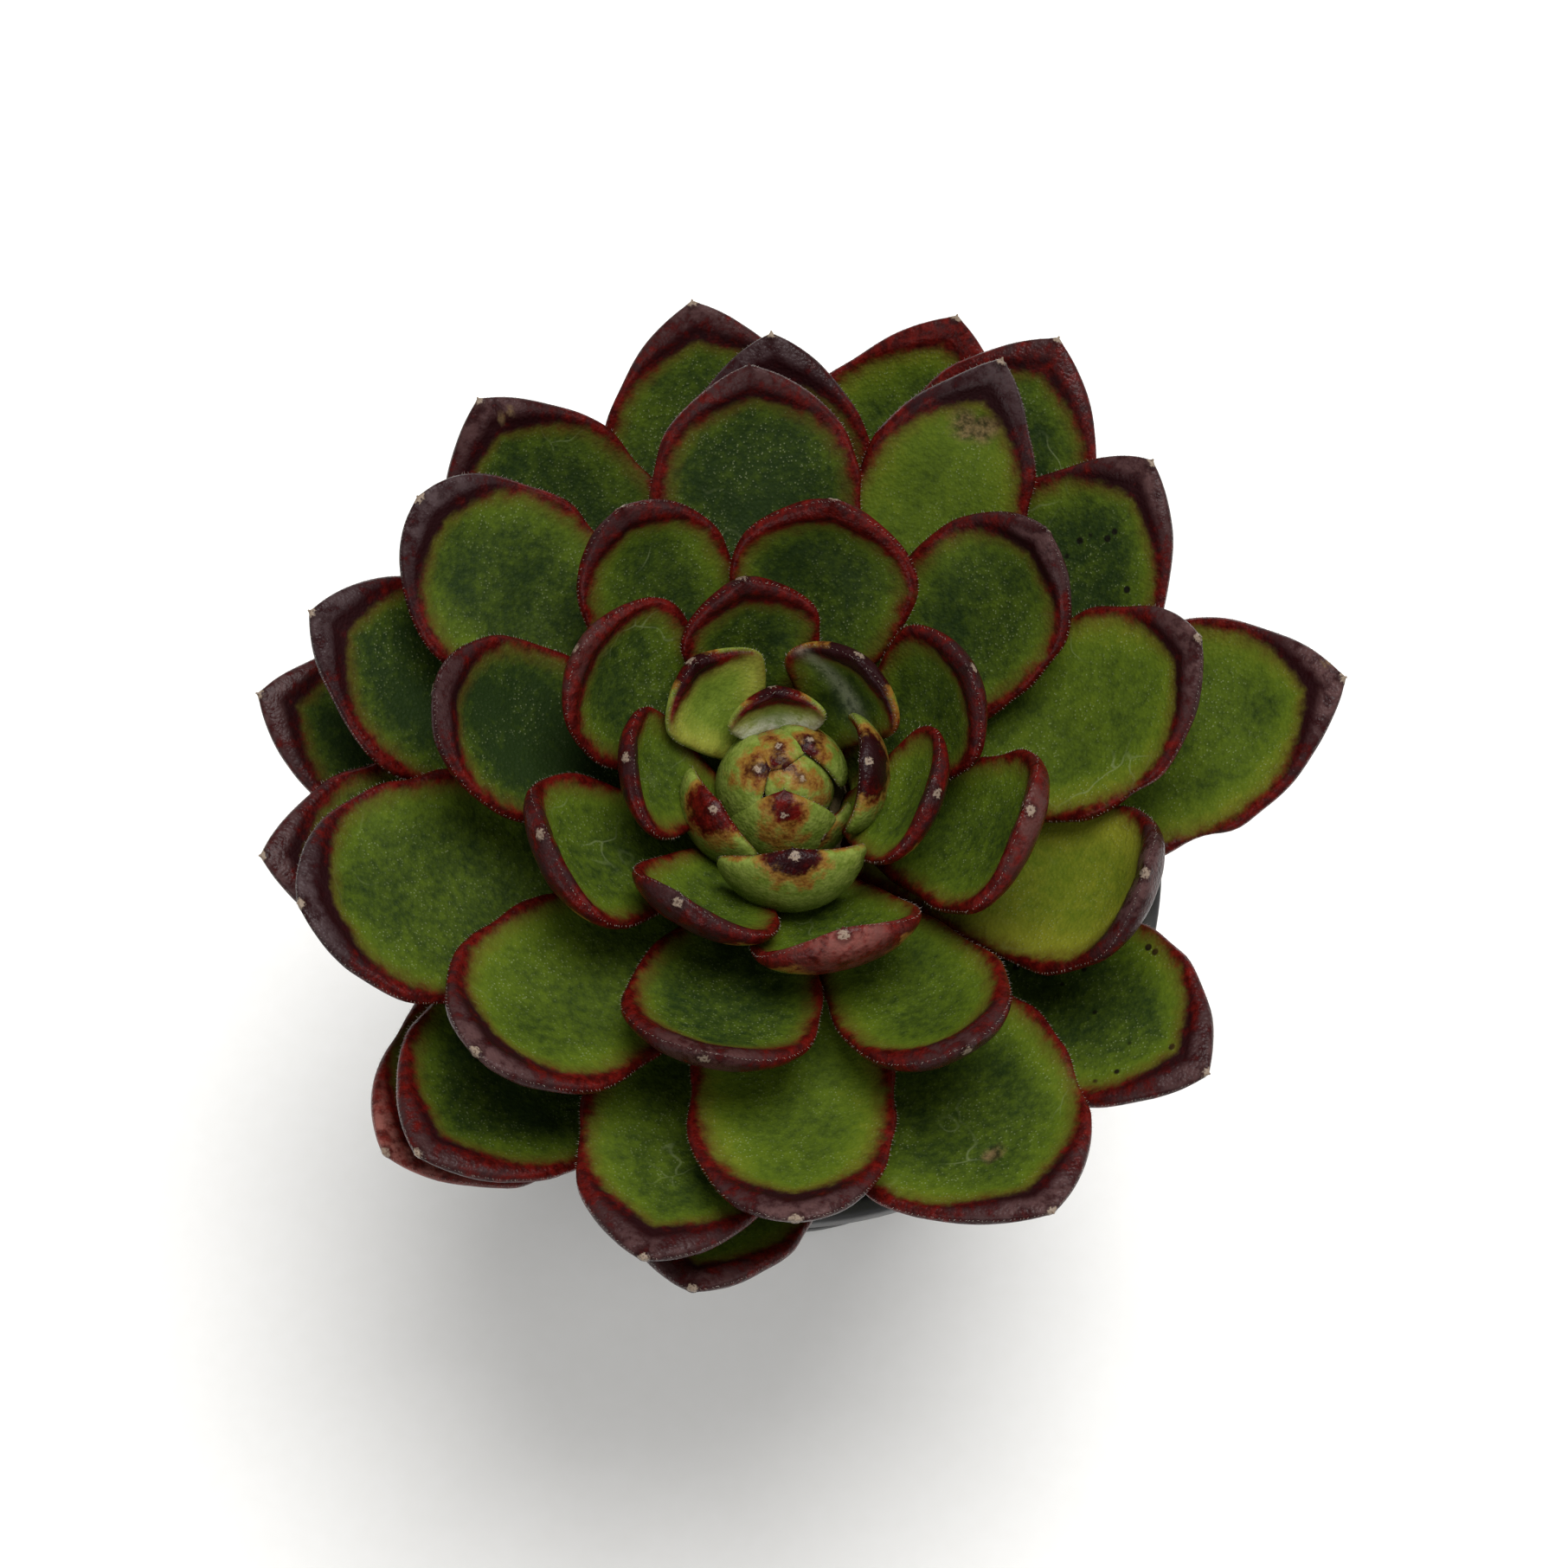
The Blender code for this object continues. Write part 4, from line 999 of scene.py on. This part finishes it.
def arc_corners(corners, steps=5):
    """An outline with its corners rounded: each is (out, height, radius)."""
    line = [corners[0][:2]]
    for before, corner, after in zip(corners, corners[1:], corners[2:]):
        a, b, c = (np.array(v[:2], float) for v in (before, corner, after))
        cut = min(corner[2], 0.45 * np.linalg.norm(a - b), 0.45 * np.linalg.norm(c - b))
        start = b + (a - b) / np.linalg.norm(a - b) * cut
        stop = b + (c - b) / np.linalg.norm(c - b) * cut
        for t in np.linspace(0, 1, steps + 1):
            line.append(tuple((1 - t)**2 * start + 2 * (1 - t) * t * b + t**2 * stop))
    return line + [corners[-1][:2]]


def add_pot(plastic):
    """The pot: turned wall, collar and foot, with round drain holes cut through its floor."""
    base, top = POT_BASE_D / 2, POT_TOP_D / 2
    under = POT_HEIGHT - COLLAR_HEIGHT
    wall = base + (top - COLLAR_STEP - base) * under / POT_HEIGHT
    slope = (wall - base) / under
    corners = [
        (0.0, 1.0, 0), (base - 4.0, 1.0, 0.5), (base - 3.2, 0.0, 0.4), (base, 0.0, 0.9),
        (base + 9 * slope, 9.0, 0.2), (base + 9 * slope - 0.35, 9.4, 0.2),
        (wall - 0.35 - 3 * slope, under - 3.0, 0.2), (wall - 3 * slope + 0.1, under - 2.6, 0.2),
        (wall, under, 0.5), (wall + COLLAR_STEP, under, 0.8),
        (top - 0.55, POT_HEIGHT - 3.2, 0.2), (top, POT_HEIGHT - 2.8, 0.3),
        (top, POT_HEIGHT, 0.9), (pot_inside(POT_HEIGHT), POT_HEIGHT, 0.9),
        (pot_inside(POT_FLOOR), POT_FLOOR, 1.2), (0.0, POT_FLOOR, 0),
    ]
    shape = bmesh.new()
    verts = [shape.verts.new((out * MM, 0, z * MM)) for out, z in arc_corners(corners)]
    edges = [shape.edges.new(pair) for pair in zip(verts, verts[1:])]
    bmesh.ops.spin(shape, geom=verts + edges, cent=(0, 0, 0), axis=(0, 0, 1),
                   angle=2 * math.pi, steps=180, use_merge=True)
    bmesh.ops.remove_doubles(shape, verts=shape.verts, dist=0.005 * MM)
    bmesh.ops.recalc_face_normals(shape, faces=shape.faces)
    mesh = bpy.data.meshes.new("pot")
    shape.to_mesh(mesh)
    shape.free()
    solid = bpy.data.objects.new("pot_uncut", mesh)
    bpy.context.scene.collection.objects.link(solid)
    cutters = []
    for i in range(DRAIN_HOLES):
        at = 2 * math.pi * (i + 0.5) / DRAIN_HOLES
        hole = bmesh.new()
        bmesh.ops.create_cone(hole, cap_ends=True, segments=40, radius1=DRAIN_D / 2 * MM,
                              radius2=DRAIN_D / 2 * MM, depth=4 * POT_FLOOR * MM)
        bmesh.ops.translate(hole, verts=hole.verts, vec=(
            DRAIN_CIRCLE_D / 2 * MM * math.cos(at), DRAIN_CIRCLE_D / 2 * MM * math.sin(at), 0))
        hole_mesh = bpy.data.meshes.new(f"drain_{i}")
        hole.to_mesh(hole_mesh)
        hole.free()
        cutter = bpy.data.objects.new(f"drain_{i}", hole_mesh)
        bpy.context.scene.collection.objects.link(cutter)
        cut = solid.modifiers.new("drain", "BOOLEAN")
        cut.operation = "DIFFERENCE"
        cut.solver = "EXACT"
        cut.object = cutter
        cutters.append(cutter)
    bpy.context.view_layer.update()
    done = bpy.data.meshes.new_from_object(
        solid.evaluated_get(bpy.context.evaluated_depsgraph_get()))
    for helper in cutters + [solid]:
        bpy.data.objects.remove(helper)
    done.materials.clear()
    done.materials.append(plastic)
    done.shade_smooth()
    done.set_sharp_from_angle(angle=math.radians(35))
    pot = bpy.data.objects.new("nursery_pot", done)
    bpy.context.scene.collection.objects.link(pot)
    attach(pot, "root")
    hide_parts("pot")


# ---- the studio

FLOOR_SIZE = 3.0
LIT_POINT = (0, 0, 0.09)
# each light's place and width in metres, and its power in watts
LIGHTS = (("overhead_softbox", (0.15, 0.35, 1.1), 0.8, 15.0),
          ("front_fill", (-0.5, -0.9, 0.8), 0.7, 4.0),
          ("side_fill", (0.9, -0.1, 0.7), 0.6, 2.0))
WORLD_LIGHT = 0.35


def add_studio(board):
    """A pale board under the pot, one broad soft light overhead, and two weaker fills."""
    floor_mesh = bpy.data.meshes.new("floor")
    half = FLOOR_SIZE / 2
    floor_mesh.from_pydata([(-half, -half, 0), (half, -half, 0), (half, half, 0),
                            (-half, half, 0)], [], [(0, 1, 2, 3)])
    floor_mesh.materials.append(board)
    floor = bpy.data.objects.new("floor", floor_mesh)
    bpy.context.scene.collection.objects.link(floor)

    target = Vector(LIT_POINT)
    for name, place, width, power in LIGHTS:
        data = bpy.data.lights.new(name, "AREA")
        data.shape = "DISK"
        data.size = width
        data.energy = power
        light = bpy.data.objects.new(name, data)
        light.location = place
        light.rotation_euler = (target - Vector(place)).to_track_quat("-Z", "Y").to_euler()
        bpy.context.scene.collection.objects.link(light)

    world = bpy.data.worlds.new("studio_white")
    world.use_nodes = True
    world.node_tree.nodes["Background"].inputs["Color"].default_value = (1, 1, 1, 1)
    world.node_tree.nodes["Background"].inputs["Strength"].default_value = WORLD_LIGHT
    bpy.context.scene.world = world
    bpy.context.scene.view_settings.view_transform = "Standard"


BUD_HEIGHT = 108.0
CAMERA_ELEVATION = 70.0
CAMERA_DISTANCE = 350.0
CAMERA_LENS = 69.54
AIM_BELOW_BUD = 0.213  # degrees, which sets the bud a little above the middle


def add_camera():
    """The camera: in front of the plant and well above it, looking down on the bud."""
    data = bpy.data.cameras.new("camera")
    data.sensor_width = 36.0
    data.lens = CAMERA_LENS
    data.clip_start = 0.01
    camera = bpy.data.objects.new("camera", data)
    up = math.radians(CAMERA_ELEVATION)
    camera.location = (0, -CAMERA_DISTANCE * math.cos(up) * MM,
                       (BUD_HEIGHT + CAMERA_DISTANCE * math.sin(up)) * MM)
    camera.rotation_euler = (math.radians(90 - CAMERA_ELEVATION - AIM_BELOW_BUD), 0, 0)
    bpy.context.scene.collection.objects.link(camera)
    bpy.context.scene.camera = camera


def main():
    skins = [leaf_skin("young_waxy_leaf_skin", ("#2c3f0d", "#56661c", "#7e8030"),
                       ("#566620", "#76813b")),
             leaf_skin("waxy_leaf_skin", ("#19270a", "#46560f", "#6b6d1b"),
                       ("#4b5a16", "#6c7228"))]
    hair = hair_fibre()
    for age in LEAVES:
        add_leaf(age, skins, hair)
    add_stem(bark())
    add_soil(earth(), grit("expanded_perlite", "#8f8a80", "#dcd8cf", 1400.0),
             grit("crushed_pumice", "#5b5247", "#9a8f7e", 1100.0))
    add_pot(pot_plastic())
    add_studio(painted_board())
    add_camera()


main()
